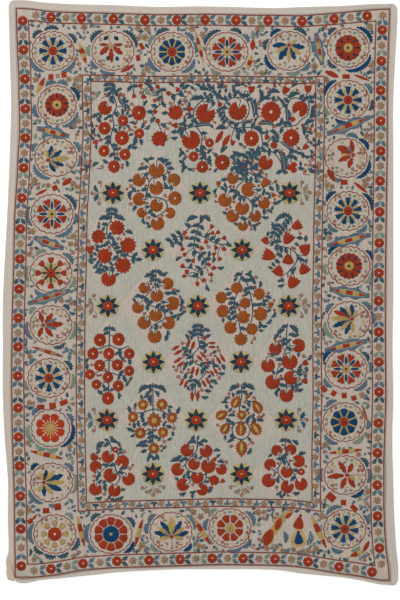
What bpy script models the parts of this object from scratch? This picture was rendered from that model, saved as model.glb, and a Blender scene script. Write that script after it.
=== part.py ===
"""Suzani: a large embroidered cotton panel with a plain strip of edging sewn along each side.

The cloth lies flat, as it would be laid out or photographed from above. Units are metres, +Z is up,
+Y runs towards the top edge, and the origin is on the surface below the middle of the cloth.
"""

import math
from collections import namedtuple

import bmesh
import bpy
import numpy as np

MM = 0.001

# The whole cloth, measured over its widest and longest places
CLOTH_WIDTH = 1659 * MM
CLOTH_LENGTH = 2457 * MM

# How thick each cloth is: the panel carries couched silk all over, the edging is bare cotton
PANEL_THICKNESS = 2.4 * MM
EDGING_THICKNESS = 1.6 * MM

CORNER_REACH = 34 * MM
CORNER_STEPS = 6
SEAM_GAP = 0.3 * MM
EDGE_STEP = 20 * MM
LEAST_STEP = 1 * MM

# At the lower left the two strips have parted, which leaves a notch this wide at the cloth's edge
NOTCH_WIDTH = 7 * MM

# Along each side of the cloth, in millimetres. along: distance from the top or left end of the side.
# bow: how far the cloth's edge falls short of the straight box there.
# strip: how wide the plain edging is there, from the cloth's edge in to the seam.
Station = namedtuple("Station", "along bow strip")

TOP_SIDE = [
    Station(0, 6, 34),
    Station(70, 0, 31),
    Station(160, 9, 29),
    Station(280, 17, 29),
    Station(450, 21, 29),
    Station(650, 29, 27),
    Station(820, 27, 29),
    Station(950, 29, 26),
    Station(1120, 34, 24),
    Station(1290, 29, 28),
    Station(1430, 25, 21),
    Station(1570, 17, 16),
    Station(1659, 17, 16),
]

BOTTOM_SIDE = [
    Station(0, 20, 10),
    Station(45, 18, 10),
    Station(70, 10, 13),
    Station(155, 21, 8),
    Station(240, 29, 10),
    Station(365, 42, 17),
    Station(490, 55, 13),
    Station(620, 63, 8),
    Station(740, 67, 8),
    Station(910, 67, 13),
    Station(1080, 67, 13),
    Station(1165, 63, 14),
    Station(1250, 50, 21),
    Station(1330, 42, 15),
    Station(1415, 34, 8),
    Station(1500, 21, 10),
    Station(1590, 3, 11),
    Station(1659, 0, 12),
]

# The last rows of this side are its loose lower end, where the fold of the strip has opened outwards
LEFT_SIDE = [
    Station(0, 23, 26),
    Station(84, 25, 25),
    Station(250, 29, 26),
    Station(420, 34, 28),
    Station(630, 29, 29),
    Station(840, 21, 26),
    Station(1050, 10, 29),
    Station(1260, 0, 37),
    Station(1470, 0, 32),
    Station(1680, 0, 29),
    Station(1850, 8, 26),
    Station(2016, 21, 18),
    Station(2184, 21, 22),
    Station(2300, 24, 20),
    Station(2322, 23, 22),
    Station(2340, 16, 29),
    Station(2362, 13, 32),
    Station(2386, 16, 30),
    Station(2406, 14, 33),
    Station(2430, 18, 31),
    Station(2457, 21, 28),
]

RIGHT_SIDE = [
    Station(0, 4, 25),
    Station(84, 4, 26),
    Station(250, 13, 23),
    Station(420, 21, 18),
    Station(630, 21, 19),
    Station(840, 21, 22),
    Station(1050, 21, 24),
    Station(1260, 21, 25),
    Station(1470, 24, 24),
    Station(1680, 21, 24),
    Station(1850, 25, 26),
    Station(2016, 21, 28),
    Station(2184, 16, 34),
    Station(2310, 8, 35),
    Station(2395, 0, 29),
    Station(2457, 2, 28),
]

PANEL_COLOUR = (0.34, 0.26, 0.20)
EDGING_COLOUR = (0.48, 0.42, 0.36)
CLOTH_ROUGHNESS = 0.85


def smooth_curve(rows, column, at):
    """Read one column of a side's table at any distances along it, on a smooth curve through the rows."""
    along = np.array([row.along for row in rows]) * MM
    value = np.array([getattr(row, column) for row in rows]) * MM
    slope = np.gradient(value, along)
    at = np.clip(at, along[0], along[-1])
    row = np.clip(np.searchsorted(along, at, side="right") - 1, 0, len(along) - 2)
    step = along[row + 1] - along[row]
    u = (at - along[row]) / step
    from_value = (1 + 2 * u) * (1 - u) ** 2 * value[row] + u**2 * (3 - 2 * u) * value[row + 1]
    from_slope = u * (1 - u) ** 2 * slope[row] - u**2 * (1 - u) * slope[row + 1]
    return from_value + from_slope * step


def left_edge(y):
    """X of the cloth's left edge at height y."""
    return smooth_curve(LEFT_SIDE, "bow", CLOTH_LENGTH / 2 - y) - CLOTH_WIDTH / 2


def right_edge(y):
    """X of the cloth's right edge at height y."""
    return CLOTH_WIDTH / 2 - smooth_curve(RIGHT_SIDE, "bow", CLOTH_LENGTH / 2 - y)


def top_edge(x):
    """Y of the cloth's top edge at x."""
    return CLOTH_LENGTH / 2 - smooth_curve(TOP_SIDE, "bow", x + CLOTH_WIDTH / 2)


def bottom_edge(x):
    """Y of the cloth's bottom edge at x."""
    return smooth_curve(BOTTOM_SIDE, "bow", x + CLOTH_WIDTH / 2) - CLOTH_LENGTH / 2


def left_seam(y):
    """X of the seam between the panel and its left strip."""
    return left_edge(y) + smooth_curve(LEFT_SIDE, "strip", CLOTH_LENGTH / 2 - y)


def right_seam(y):
    """X of the seam between the panel and its right strip."""
    return right_edge(y) - smooth_curve(RIGHT_SIDE, "strip", CLOTH_LENGTH / 2 - y)


def top_seam(x):
    """Y of the seam between the panel and its top strip."""
    return top_edge(x) - smooth_curve(TOP_SIDE, "strip", x + CLOTH_WIDTH / 2)


def bottom_seam(x):
    """Y of the seam between the panel and its bottom strip."""
    return bottom_edge(x) + smooth_curve(BOTTOM_SIDE, "strip", x + CLOTH_WIDTH / 2)


def corner(side, end):
    """Where an upright curve, x of y, meets a level curve, y of x."""
    x, y = side(0.0), end(0.0)
    for _ in range(20):
        x, y = side(y), end(x)
    return float(x), float(y)


def stations(start, finish):
    """Both ends and each whole step between them, so that neighbouring pieces share their places."""
    low, high = min(start, finish), max(start, finish)
    first, last = math.ceil(low / EDGE_STEP), math.floor(high / EDGE_STEP)
    between = [count * EDGE_STEP for count in range(first, last + 1)]
    clear = [place for place in between if low + LEAST_STEP < place < high - LEAST_STEP]
    run = [low] + clear + [high]
    return run if start < finish else run[::-1]


def upright_run(side, from_y, to_y):
    """Points on an upright curve between two heights, ends included."""
    return [(float(side(y)), float(y)) for y in stations(from_y, to_y)]


def level_run(end, from_x, to_x):
    """Points on a level curve between two places across, ends included."""
    return [(float(x), float(end(x))) for x in stations(from_x, to_x)]


def rounded(start, tip, finish):
    """The points between start and finish on a soft corner that would have its tip at tip."""
    points = []
    for step in range(1, CORNER_STEPS):
        u = step / CORNER_STEPS
        weights = ((1 - u) ** 2, 2 * u * (1 - u), u**2)
        points.append(
            tuple(sum(w * p[axis] for w, p in zip(weights, (start, tip, finish))) for axis in (0, 1))
        )
    return points


def panel_outline():
    """The embroidered panel: four seams that meet in square corners, anticlockwise from the lower left."""
    lower_left = corner(left_seam, bottom_seam)
    lower_right = corner(right_seam, bottom_seam)
    upper_right = corner(right_seam, top_seam)
    upper_left = corner(left_seam, top_seam)
    return (
        level_run(bottom_seam, lower_left[0], lower_right[0])[:-1]
        + upright_run(right_seam, lower_right[1], upper_right[1])[:-1]
        + level_run(top_seam, upper_right[0], upper_left[0])[:-1]
        + upright_run(left_seam, upper_left[1], lower_left[1])[:-1]
    )


def side_strip_outline(edge, seam, outward, lower_corner_reach):
    """A strip that runs the whole height of the cloth. outward is -1 on the left and 1 on the right."""
    def inner(y):
        return seam(y) + outward * SEAM_GAP

    inner_top = corner(inner, top_edge)
    inner_bottom = corner(inner, bottom_edge)
    top_tip = corner(edge, top_edge)
    bottom_tip = corner(edge, bottom_edge)
    top_turn_x = top_tip[0] - outward * CORNER_REACH / 2
    bottom_turn_x = bottom_tip[0] - outward * lower_corner_reach / 2
    top_turn = (top_turn_x, float(top_edge(top_turn_x)))
    bottom_turn = (bottom_turn_x, float(bottom_edge(bottom_turn_x)))
    outer = upright_run(edge, bottom_tip[1] + lower_corner_reach, top_tip[1] - CORNER_REACH)
    return (
        upright_run(inner, inner_top[1], inner_bottom[1])
        + [bottom_turn]
        + rounded(bottom_turn, bottom_tip, outer[0])
        + outer
        + rounded(outer[-1], top_tip, top_turn)
        + [top_turn]
    )


def end_strip_outline(end, seam, inward, notch):
    """A strip that lies between the two side strips. inward is -1 on the top strip and 1 on the bottom."""
    def inner(x):
        return seam(x) - inward * SEAM_GAP

    def left_end(y):
        return left_seam(y)

    outer_left = corner(left_end, end)
    outer_right = corner(right_seam, end)
    inner_left = corner(left_end, inner)
    inner_right = corner(right_seam, inner)
    return level_run(end, outer_left[0] + notch, outer_right[0]) + level_run(
        inner, inner_right[0], inner_left[0]
    )


def cloth_material(name, colour):
    """A matt cloth of one colour."""
    material = bpy.data.materials.new(name)
    material.use_nodes = True
    shader = material.node_tree.nodes["Principled BSDF"]
    shader.inputs["Base Color"].default_value = (*colour, 1.0)
    shader.inputs["Roughness"].default_value = CLOTH_ROUGHNESS
    shader.inputs["Metallic"].default_value = 0.0
    return material


def flat_cloth(name, outline, thickness, colour):
    """Lay one piece of cloth on the surface: its outline, raised to its thickness."""
    mesh = bpy.data.meshes.new(name)
    shape = bmesh.new()
    corners = [shape.verts.new((x, y, 0.0)) for x, y in outline]
    face = shape.faces.new(corners)
    raised = bmesh.ops.extrude_face_region(shape, geom=[face])
    top = [item for item in raised["geom"] if isinstance(item, bmesh.types.BMVert)]
    bmesh.ops.translate(shape, vec=(0.0, 0.0, thickness), verts=top)
    bmesh.ops.recalc_face_normals(shape, faces=shape.faces)
    shape.to_mesh(mesh)
    shape.free()
    cloth = bpy.data.objects.new(name, mesh)
    mesh.materials.append(cloth_material(name, colour))
    bpy.context.scene.collection.objects.link(cloth)
    return cloth


def build_suzani():
    """Make the panel and its four strips, and centre them over the origin."""
    outlines = {
        "embroidered_panel": panel_outline(),
        "edging_left": side_strip_outline(left_edge, left_seam, -1, CORNER_REACH / 3),
        "edging_right": side_strip_outline(right_edge, right_seam, 1, CORNER_REACH),
        "edging_top": end_strip_outline(top_edge, top_seam, -1, 0.0),
        "edging_bottom": end_strip_outline(bottom_edge, bottom_seam, 1, NOTCH_WIDTH),
    }
    every_point = np.concatenate([np.array(outline) for outline in outlines.values()])
    middle = (every_point.min(axis=0) + every_point.max(axis=0)) / 2
    for name, outline in outlines.items():
        is_panel = name == "embroidered_panel"
        thickness = PANEL_THICKNESS if is_panel else EDGING_THICKNESS
        colour = PANEL_COLOUR if is_panel else EDGING_COLOUR
        flat_cloth(name, np.array(outline) - middle, thickness, colour)


for old in list(bpy.data.objects):
    bpy.data.objects.remove(old, do_unlink=True)
build_suzani()
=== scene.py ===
"""Suzani: a cotton panel worked all over in silk, with a plain cotton edging, laid out flat.

The cloth is measured in millimetres from its middle, +X to the right edge and +Y to the top edge. The
ornament is set out on a squared guide laid over the cloth, counted in squares from the guide's upper
left corner: across to the right, and down. What belongs to one figure is counted in squares from the
figure's own middle, X to the right and Y to the top. Angles are in degrees, anticlockwise from +X.
"""

import logging
import math
from dataclasses import dataclass, field
from enum import Enum
from typing import Sequence

import bpy
import numpy as np
from mathutils import Color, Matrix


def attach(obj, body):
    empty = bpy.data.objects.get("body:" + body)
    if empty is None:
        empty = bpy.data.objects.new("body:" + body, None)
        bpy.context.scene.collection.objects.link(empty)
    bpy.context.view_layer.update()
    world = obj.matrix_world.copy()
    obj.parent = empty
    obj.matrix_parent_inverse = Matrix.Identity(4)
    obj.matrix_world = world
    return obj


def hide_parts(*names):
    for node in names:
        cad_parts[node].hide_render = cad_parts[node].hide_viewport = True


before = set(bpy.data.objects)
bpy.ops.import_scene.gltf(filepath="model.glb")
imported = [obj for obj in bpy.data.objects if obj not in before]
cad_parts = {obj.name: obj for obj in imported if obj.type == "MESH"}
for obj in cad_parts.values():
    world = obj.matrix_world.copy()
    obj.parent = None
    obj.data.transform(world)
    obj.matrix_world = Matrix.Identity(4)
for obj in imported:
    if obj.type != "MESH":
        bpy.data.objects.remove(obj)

LOG = logging.getLogger("suzani")
BODY = "root"
MM = 0.001
TINY = 1e-9

Array = np.ndarray
Rows = Sequence[tuple]
Material = bpy.types.Material
Socket = bpy.types.NodeSocket

# The squared guide: a square's size in millimetres, and the square over the cloth's middle
SQUARE = 4.2
GUIDE_MIDDLE = np.array([200.5, 292.5])

# The whole cloth, and how far the panel's face stands above its underside, in millimetres
CLOTH_WIDTH = 1659.0
CLOTH_LENGTH = 2457.0
PANEL_FACE = 1.4

# White floor and cloth share one light: a white surface comes out this bright
EXPOSURE = 1.08

# The distance between stitches and their longest reach, in the figures, under them and in the ground
MOTIF_PITCH = 1.75
MOTIF_REACH = 62.0
UNDER_PITCH = 2.6
GROUND_PITCH = 3.8
GROUND_REACH = 48.0

# A laid stitch: its width to its pitch, how uneven its place and ends are, its least length and its ends
STITCH_OVERLAP = 1.12
STITCH_DRIFT = 0.14
END_DRIFT = 0.25
LEAST_STITCH = 1.2
LEAST_PART = 3.0
END_SLOPE = 0.8
END_SHARE = 0.35

# A chain link: its length, how far it overlaps the next, and its height from its layer and its width
LINK_PITCH = 4.6
LINK_OVERLAP = 1.28
LINK_HEIGHT = 0.4
LINK_SWELL = 0.13

# How far a figure's dye strays, how far its threads differ, and a contour's width in squares
DYE_SWAY = 0.03
THREAD_SWAY = 0.06
DYE_LIMITS = (0.002, 0.95)
CONTOUR = 0.4


class Dye(Enum):
    """The colours of the silk and the cotton as they look on the cloth, and the painted shadow of a crease:
    red, green and blue to 255.
    """

    CREAM = (183, 171, 158)
    SAGE_GROUND = (168, 170, 157)
    MADDER = (154, 52, 22)
    RUST = (104, 32, 18)
    ROSE = (144, 58, 38)
    LINE = (136, 54, 42)
    ORANGE = (150, 78, 26)
    SCARLET = (180, 52, 24)
    INDIGO = (16, 52, 68)
    BLUE = (6, 62, 98)
    INK = (30, 54, 68)
    STALK = (46, 74, 86)
    TEAL = (54, 82, 95)
    SLATE = (88, 110, 122)
    MOSS = (122, 138, 122)
    BOTTLE = (30, 60, 48)
    WELD = (178, 150, 90)
    STRAW = (184, 168, 120)
    WALNUT = (152, 125, 101)
    PALE = (206, 190, 168)
    COTTON = (184, 173, 161)
    FLAP = (187, 171, 146)
    # Not a dye: painted shadow for the crease beside the opened hem
    CREASE = (99.6, 87.2, 74.8)

    def linear(self) -> Array:
        """The dye in linear light, scaled to the studio's exposure."""
        return np.array(Color([part / 255 for part in self.value]).from_srgb_to_scene_linear()) / EXPOSURE


class Layer(Enum):
    """How stitches lie over each other: the lift above the cloth and the stitch's own height, in mm."""

    GROUND = (-0.25, 0.6)
    UNDER = (0.1, 0.45)
    STEM = (0.3, 0.6)
    MOTIF = (0.55, 0.75)
    DETAIL = (1.25, 0.7)
    TOP = (1.9, 0.7)

    def rank(self) -> int:
        """The layer's number, counted up from the cloth."""
        return list(Layer).index(self)


@dataclass
class Nodes:
    """A node tree in the making: a material's, or a named group's."""

    tree: bpy.types.NodeTree

    def wire(self, node: bpy.types.Node, inputs: dict) -> bpy.types.Node:
        """Give a node its inputs.

        Args:
            node: The node.
            inputs: What each input gets, a socket or a value.

        Returns:
            The same node.
        """
        for name, value in inputs.items():
            if isinstance(value, Socket):
                self.tree.links.new(value, node.inputs[name])
            else:
                node.inputs[name].default_value = value
        return node

    def add(self, kind: str, inputs: dict, **settings: object) -> bpy.types.Node:
        """Add a node.

        Args:
            kind: Its type, without the words that all of them begin with.
            inputs: What each input gets.
            settings: The node's own settings.

        Returns:
            The node.
        """
        node = self.tree.nodes.new("ShaderNode" + kind)
        for name, value in settings.items():
            setattr(node, name, value)
        return self.wire(node, inputs)

    def sum(self, operation: str, *values: object) -> Socket:
        """The result of a sum on sockets and numbers."""
        return self.add("Math", dict(enumerate(values)), operation=operation).outputs["Value"]

    def takes(self, **numbers: float) -> bpy.types.bpy_prop_collection:
        """Give a group its inputs, a vector and some numbers.

        Args:
            numbers: The numbers' names and values.

        Returns:
            The inputs' sockets inside the group.
        """
        self.tree.interface.new_socket("Vector", in_out="INPUT", socket_type="NodeSocketVector")
        for name, value in numbers.items():
            socket = self.tree.interface.new_socket(name, in_out="INPUT", socket_type="NodeSocketFloat")
            socket.default_value = value
        return self.tree.nodes.new("NodeGroupInput").outputs

    def gives(self, **sources: Socket) -> None:
        """Give a group its outputs: a colour for a source of three parts, otherwise a value.

        Args:
            sources: The outputs' names and what they give.
        """
        end = self.tree.nodes.new("NodeGroupOutput")
        for name, source in sources.items():
            kind = "NodeSocketColor" if source.type == "VECTOR" else "NodeSocketFloat"
            self.tree.interface.new_socket(name, in_out="OUTPUT", socket_type=kind)
            self.tree.links.new(source, end.inputs[name])


def uneven_group(nodes: Nodes) -> None:
    """Dyeing and wear that vary over the cloth: lighter and darker, and a little warmer and cooler.

    Args:
        nodes: The empty group.
    """
    given = nodes.takes(Broad=11.0, Fine=85.0, Detail=3.0, Middle=0.5, Amount=0.12, Warmth=0.4)
    parts = []
    for size in ("Broad", "Fine"):
        noise = nodes.add("TexNoise", {"Vector": given["Vector"], "Scale": given[size],
                                       "Detail": given["Detail"]})
        centred = nodes.sum("SUBTRACT", noise.outputs["Fac"], given["Middle"])
        parts.append(nodes.sum("MULTIPLY", centred, given["Amount"]))
    light = nodes.sum("ADD", nodes.sum("ADD", *parts), 1.0)
    warm = nodes.sum("MULTIPLY", parts[0], given["Warmth"])
    shades = nodes.sum("ADD", light, warm), light, nodes.sum("SUBTRACT", light, warm)
    nodes.gives(Tint=nodes.add("CombineXYZ", dict(enumerate(shades))).outputs["Vector"])


def weave_group(nodes: Nodes) -> None:
    """Plain weave: the height of crossing yarns, and painted shade that darkens the gaps between them and
    lightens the crossings.

    Args:
        nodes: The empty group.
    """
    given = nodes.takes(Yarns=900.0, Rise=0.5, Gaps=0.12, Dark=0.94)
    place = nodes.add("SeparateXYZ", {"Vector": given["Vector"]}).outputs
    waves = []
    for axis in ("X", "Y"):
        along = nodes.sum("MULTIPLY", place[axis], given["Yarns"])
        waves.append(nodes.sum("SINE", nodes.sum("MULTIPLY", along, math.pi)))
    height = nodes.sum("MULTIPLY_ADD", nodes.sum("MULTIPLY", *waves), given["Rise"], given["Rise"])
    gap = nodes.sum("MULTIPLY", *[nodes.sum("ABSOLUTE", wave) for wave in waves])
    nodes.gives(Height=height, Shade=nodes.sum("MULTIPLY_ADD", gap, given["Gaps"], given["Dark"]))


def floss_group(nodes: Nodes) -> None:
    """Loose silk floss held down by small cross stitches: the height of its strands and couching, and
    painted shade in the dents where the couching holds it.

    Args:
        nodes: The empty group.
    """
    given = nodes.takes(Strands=2.6, Couching=4.2, Lean=0.35, Drift=0.4, Middle=0.5, Held=0.07,
                        Ridge=0.35, Depth=-0.8, Dark=-0.07)
    place = nodes.add("SeparateXYZ", {"Vector": given["Vector"]}).outputs
    across = nodes.sum("MULTIPLY_ADD", place["X"], given["Lean"], place["Y"])
    strand = nodes.sum("MULTIPLY", across, given["Strands"])
    ridge = nodes.sum("SINE", nodes.sum("MULTIPLY", strand, 2 * math.pi))
    stitch = nodes.sum("DIVIDE", place["X"], given["Couching"])
    beat = nodes.sum("FRACT", nodes.sum("MULTIPLY_ADD", place["Y"], given["Drift"], stitch))
    off = nodes.sum("ABSOLUTE", nodes.sum("SUBTRACT", beat, given["Middle"]))
    held = nodes.sum("LESS_THAN", off, given["Held"])
    height = nodes.sum("MULTIPLY_ADD", ridge, given["Ridge"], nodes.sum("MULTIPLY", held, given["Depth"]))
    nodes.gives(Height=height, Shade=nodes.sum("MULTIPLY_ADD", held, given["Dark"], 1.0))


class Texture(Enum):
    """The node groups, by the names that Blender lists them under."""

    UNEVEN = "Uneven dyeing"
    WEAVE = "Plain weave"
    FLOSS = "Couched floss"

    def group(self) -> bpy.types.NodeTree:
        """The texture's node group, made when it is first needed.

        Returns:
            The group.
        """
        tree = bpy.data.node_groups.get(self.value)
        if tree is None:
            tree = bpy.data.node_groups.new(self.value, "ShaderNodeTree")
            makers = {Texture.UNEVEN: uneven_group, Texture.WEAVE: weave_group, Texture.FLOSS: floss_group}
            makers[self](Nodes(tree))
        return tree


@dataclass(frozen=True)
class ThreadFinish:
    """A cloth or thread finish: a vertex colour, made uneven and shaded by its own texture.

    surface names the map that the texture follows. Without one it follows the cloth's own measure.
    """

    name: str
    attribute: str
    texture: Texture
    surface: str
    roughness: float
    depth: float
    uneven: float
    bump: float = 0.5
    sheen: float = 0.05
    sheen_roughness: float = 0.5
    shine: float = 0.07

    def material(self) -> Material:
        """The finish's material, made when it is first needed."""
        return bpy.data.materials.get(self.name) or self.made()

    def made(self) -> Material:
        """Make the material.

        Returns:
            The material.
        """
        material = bpy.data.materials.new(self.name)
        material.use_nodes = True
        nodes = Nodes(material.node_tree)
        place = nodes.add("TexCoord", {}).outputs["Object"]
        surface = nodes.add("UVMap", {}, uv_map=self.surface).outputs["UV"] if self.surface else place
        uneven = nodes.add("Group", {"Vector": place, "Amount": self.uneven},
                           node_tree=Texture.UNEVEN.group())
        texture = nodes.add("Group", {"Vector": surface}, node_tree=self.texture.group()).outputs
        colour = nodes.add("Attribute", {}, attribute_name=self.attribute).outputs["Color"]
        tinted = nodes.add("VectorMath", {0: colour, 1: uneven.outputs["Tint"]}, operation="MULTIPLY")
        shaded = nodes.add("VectorMath", {0: tinted.outputs["Vector"], "Scale": texture["Shade"]},
                           operation="SCALE")
        bump = nodes.add("Bump", {"Strength": self.bump, "Distance": self.depth,
                                  "Height": texture["Height"]})
        nodes.wire(nodes.tree.nodes["Principled BSDF"], {
            "Base Color": shaded.outputs["Vector"], "Normal": bump.outputs["Normal"],
            "Roughness": self.roughness, "Sheen Weight": self.sheen,
            "Sheen Roughness": self.sheen_roughness, "Specular IOR Level": self.shine,
        })
        return material


SILK = ThreadFinish("silk floss", "dye", Texture.FLOSS, "floss", 0.62, 0.0001, 0.24)
COTTON = ThreadFinish("plain cotton", "cotton", Texture.WEAVE, "", 0.9, 0.0003, 0.08)


def on_cloth(squares: Sequence) -> Array:
    """Places on the guide, (across, down), as (x, y) in millimetres on the cloth."""
    return (np.asarray(squares, float) - GUIDE_MIDDLE) * (SQUARE, -SQUARE)


def from_middle(squares: Sequence) -> Array:
    """Places on the guide as (x, y) in squares from the cloth's middle."""
    return on_cloth(squares) / SQUARE


def turned(points: Sequence, degrees: float) -> Array:
    """Points turned anticlockwise round the middle."""
    c, s = math.cos(math.radians(degrees)), math.sin(math.radians(degrees))
    return np.asarray(points, float) @ [[c, s], [-s, c]]


def placed(outline: Sequence, at: Array, turn: float = 0.0) -> Array:
    """A figure's outline in squares, turned and put in its place on the cloth in millimetres."""
    return np.asarray(at) + turned(outline, turn) * SQUARE


def leftward(run: Array) -> Array:
    """Directions turned a quarter to the left."""
    return np.asarray(run)[..., ::-1] * (-1, 1)


def polar(radius: Array | float, degrees: Array | float) -> Array:
    """Points at these radii and bearings round the middle."""
    angle = np.radians(degrees)
    return np.stack([radius * np.cos(angle), radius * np.sin(angle)], axis=-1)


def bearing_of(run: Array) -> float:
    """The bearing of a direction."""
    return math.degrees(math.atan2(run[1], run[0]))


def zigzag(count: int, first: float, second: float) -> Array:
    """Two values in turn, such as the tips and gaps of a toothed edge."""
    return np.where(np.arange(count) % 2 == 0, first, second)


def scallops(degrees: Array, count: int, power: float) -> Array:
    """A scalloped edge's height at each bearing, from 0 to 1; a low power makes round scallops."""
    return np.abs(np.sin(np.radians(degrees * count / 2))) ** power


def joined(upper: Array, lower: Array) -> Array:
    """One outline from a figure's two edges, which share their ends."""
    return np.concatenate([upper, lower[-2:0:-1]])


def looped(line: Array) -> Array:
    """A line that comes back to its start."""
    return np.concatenate([line, line[:1]])


def drawn_in(outline: Array, depth: float) -> Array:
    """Move a closed outline inwards.

    Args:
        outline: Its points.
        depth: How far.

    Returns:
        The smaller outline.
    """
    after = np.roll(outline, -1, axis=0)
    run = after - np.roll(outline, 1, axis=0)
    area = (outline[:, 0] * after[:, 1] - after[:, 0] * outline[:, 1]).sum()
    return outline + leftward(run) / np.maximum(np.hypot(*run.T), TINY)[:, None] * depth * np.sign(area)


# What each of four points weighs in a smooth curve between the middle two, for each power of the way
CURVE = np.array([[0, 2, 0, 0], [-1, 0, 1, 0], [2, -5, 4, -1], [-1, 3, -3, 1]]) / 2


def smooth_path(points: Sequence, closed: bool = False, steps: int = 8) -> Array:
    """Run a smooth curve through points.

    Args:
        points: The places that the curve passes.
        closed: Whether it comes back to its start.
        steps: How many points each stretch gets.

    Returns:
        The points of the curve.
    """
    points = np.asarray(points, float)
    if closed:
        held = np.concatenate([points[-1:], points, points[:2]])
    else:
        held = np.concatenate([2 * points[:1] - points[1:2], points, 2 * points[-1:] - points[-2:-1]])
    powers = np.linspace(0.0, 1.0, steps, endpoint=False)[:, None] ** np.arange(4)
    parts = [powers @ CURVE @ held[start:start + 4] for start in range(len(held) - 3)]
    return np.concatenate(parts if closed else [*parts, points[-1:]])


def evenly(path: Array, pitch: float) -> tuple[Array, Array]:
    """Step along a path at an even pitch.

    Args:
        path: The path's points.
        pitch: The distance between steps.

    Returns:
        The middle of each step, and the unit direction there.
    """
    far = np.concatenate([[0.0], np.cumsum(np.linalg.norm(np.diff(path, axis=0), axis=1))])
    marks = np.linspace(0.0, far[-1], max(1, round(far[-1] / pitch)) + 1)
    stops = np.stack([np.interp(marks, far, path[:, axis]) for axis in (0, 1)], axis=1)
    heading = np.diff(stops, axis=0)
    length = np.maximum(np.linalg.norm(heading, axis=1, keepdims=True), TINY)
    return (stops[:-1] + stops[1:]) / 2, heading / length


class Side(Enum):
    """The cloth's four sides: which way is out, and whether the side is upright."""

    LEFT = (-1, True)
    RIGHT = (1, True)
    TOP = (1, False)
    BOTTOM = (-1, False)

    def rows(self, shape: "ClothShape | Frames | GuardBorder") -> Array:
        """What a shape holds for this side."""
        return np.array(getattr(shape, self.name.lower()), float)


@dataclass(frozen=True)
class ClothShape:
    """The uneven outline of the cloth and its seams, and how it rises off the floor, in millimetres.

    A side's rows are (along, bow, strip): the distance from its top or left end, how far the cloth's
    edge falls short of the straight box there, and how wide the edging is, from the edge to the seam.
    The cockles' wave sizes are across the cloth and along it.
    """

    top: Rows = ((0, 6, 34), (70, 0, 31), (160, 9, 29), (280, 17, 29), (450, 21, 29), (650, 29, 27),
                 (820, 27, 29), (950, 29, 26), (1120, 34, 24), (1290, 29, 28), (1430, 25, 21),
                 (1570, 17, 16), (1659, 17, 16))
    bottom: Rows = ((0, 20, 10), (45, 18, 10), (70, 10, 13), (155, 21, 8), (240, 29, 10), (365, 42, 17),
                    (490, 55, 13), (620, 63, 8), (740, 67, 8), (910, 67, 13), (1080, 67, 13),
                    (1165, 63, 14), (1250, 50, 21), (1330, 42, 15), (1415, 34, 8), (1500, 21, 10),
                    (1590, 3, 11), (1659, 0, 12))
    left: Rows = ((0, 23, 26), (84, 25, 25), (250, 29, 26), (420, 34, 28), (630, 29, 29), (840, 21, 26),
                  (1050, 10, 29), (1260, 0, 37), (1470, 0, 32), (1680, 0, 29), (1850, 8, 26),
                  (2016, 21, 18), (2184, 21, 22), (2300, 24, 20), (2322, 23, 22), (2340, 16, 29),
                  (2362, 13, 32), (2386, 16, 30), (2406, 14, 33), (2430, 18, 31), (2457, 21, 28))
    right: Rows = ((0, 4, 25), (84, 4, 26), (250, 13, 23), (420, 21, 18), (630, 21, 19), (840, 21, 22),
                   (1050, 21, 24), (1260, 21, 25), (1470, 24, 24), (1680, 21, 24), (1850, 25, 26),
                   (2016, 21, 28), (2184, 16, 34), (2310, 8, 35), (2395, 0, 29), (2457, 2, 28))

    cockles: tuple = (97.0, 131.0)
    cockle_start: tuple = (1.3, 0.4)
    small_cockles: tuple = (43.0, 61.0)
    edge_reach: tuple = (45.0, 55.0)
    ripples: tuple = (19.0, 22.0)
    ripple_lean: tuple = (90.0, 80.0)
    heights: tuple = (0.45, 0.22, 0.35)

    def line(self, side: Side, at: Array, seam: float = 0.0) -> Array:
        """X of an upright edge or seam at some heights, or Y of a level one at some places across.

        Args:
            side: Which side.
            at: The heights, or the places across.
            seam: 0 at the cloth's edge, 1 at the seam.

        Returns:
            X or Y on a smooth curve through the side's rows.
        """
        out, upright = side.value
        size = (CLOTH_WIDTH, CLOTH_LENGTH) if upright else (CLOTH_LENGTH, CLOTH_WIDTH)
        along, bow, strip = side.rows(self).T
        short = bow + seam * strip
        slope = np.gradient(short, along)
        at = np.clip(size[1] / 2 + (-at if upright else at), along[0], along[-1])
        row = np.clip(np.searchsorted(along, at, side="right") - 1, 0, len(along) - 2)
        step = along[row + 1] - along[row]
        u = (at - along[row]) / step
        held = (1 + 2 * u) * (1 - u) ** 2 * short[row] + u**2 * (3 - 2 * u) * short[row + 1]
        held += (u * (1 - u) ** 2 * slope[row] - u**2 * (1 - u) * slope[row + 1]) * step
        return out * (size[0] / 2 - held)

    def rise(self, x: Array, y: Array) -> Array:
        """How far the cloth's underside stands off the floor: long, low cockles and rippled edges.

        Args:
            x: Places across.
            y: Places along.

        Returns:
            The height at each place.
        """
        waves = [np.sin(at / size + start)
                 for at, size, start in zip((x, y), self.cockles, self.cockle_start)]
        small = np.sin(x / self.small_cockles[0] + y / self.small_cockles[1])
        ripple = 0.0
        ways = (CLOTH_WIDTH, x, y), (CLOTH_LENGTH, y, x)
        for (size, off, along), reach, wave, lean in zip(ways, self.edge_reach, self.ripples,
                                                         self.ripple_lean):
            near = np.exp(-(size / 2 - np.abs(off)) / reach)
            ripple = ripple + near * (1 + np.sin(along / wave + off / lean))
        broad_high, small_high, ripple_high = self.heights
        return broad_high * (1 + waves[0] * waves[1]) + small_high * (1 + small) + ripple_high * ripple


class Ring(Enum):
    """Each framing line as shares of the framed area: left, right, top and bottom."""

    OUTER = (0.0, 1.0, 0.0, 1.0)
    GUARD = (0.0323, 0.9648, 0.0198, 0.9772)
    BORDER = (0.1723, 0.8288, 0.1118, 0.8944)
    FIELD = (0.1949, 0.8059, 0.1230, 0.8804)


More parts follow.
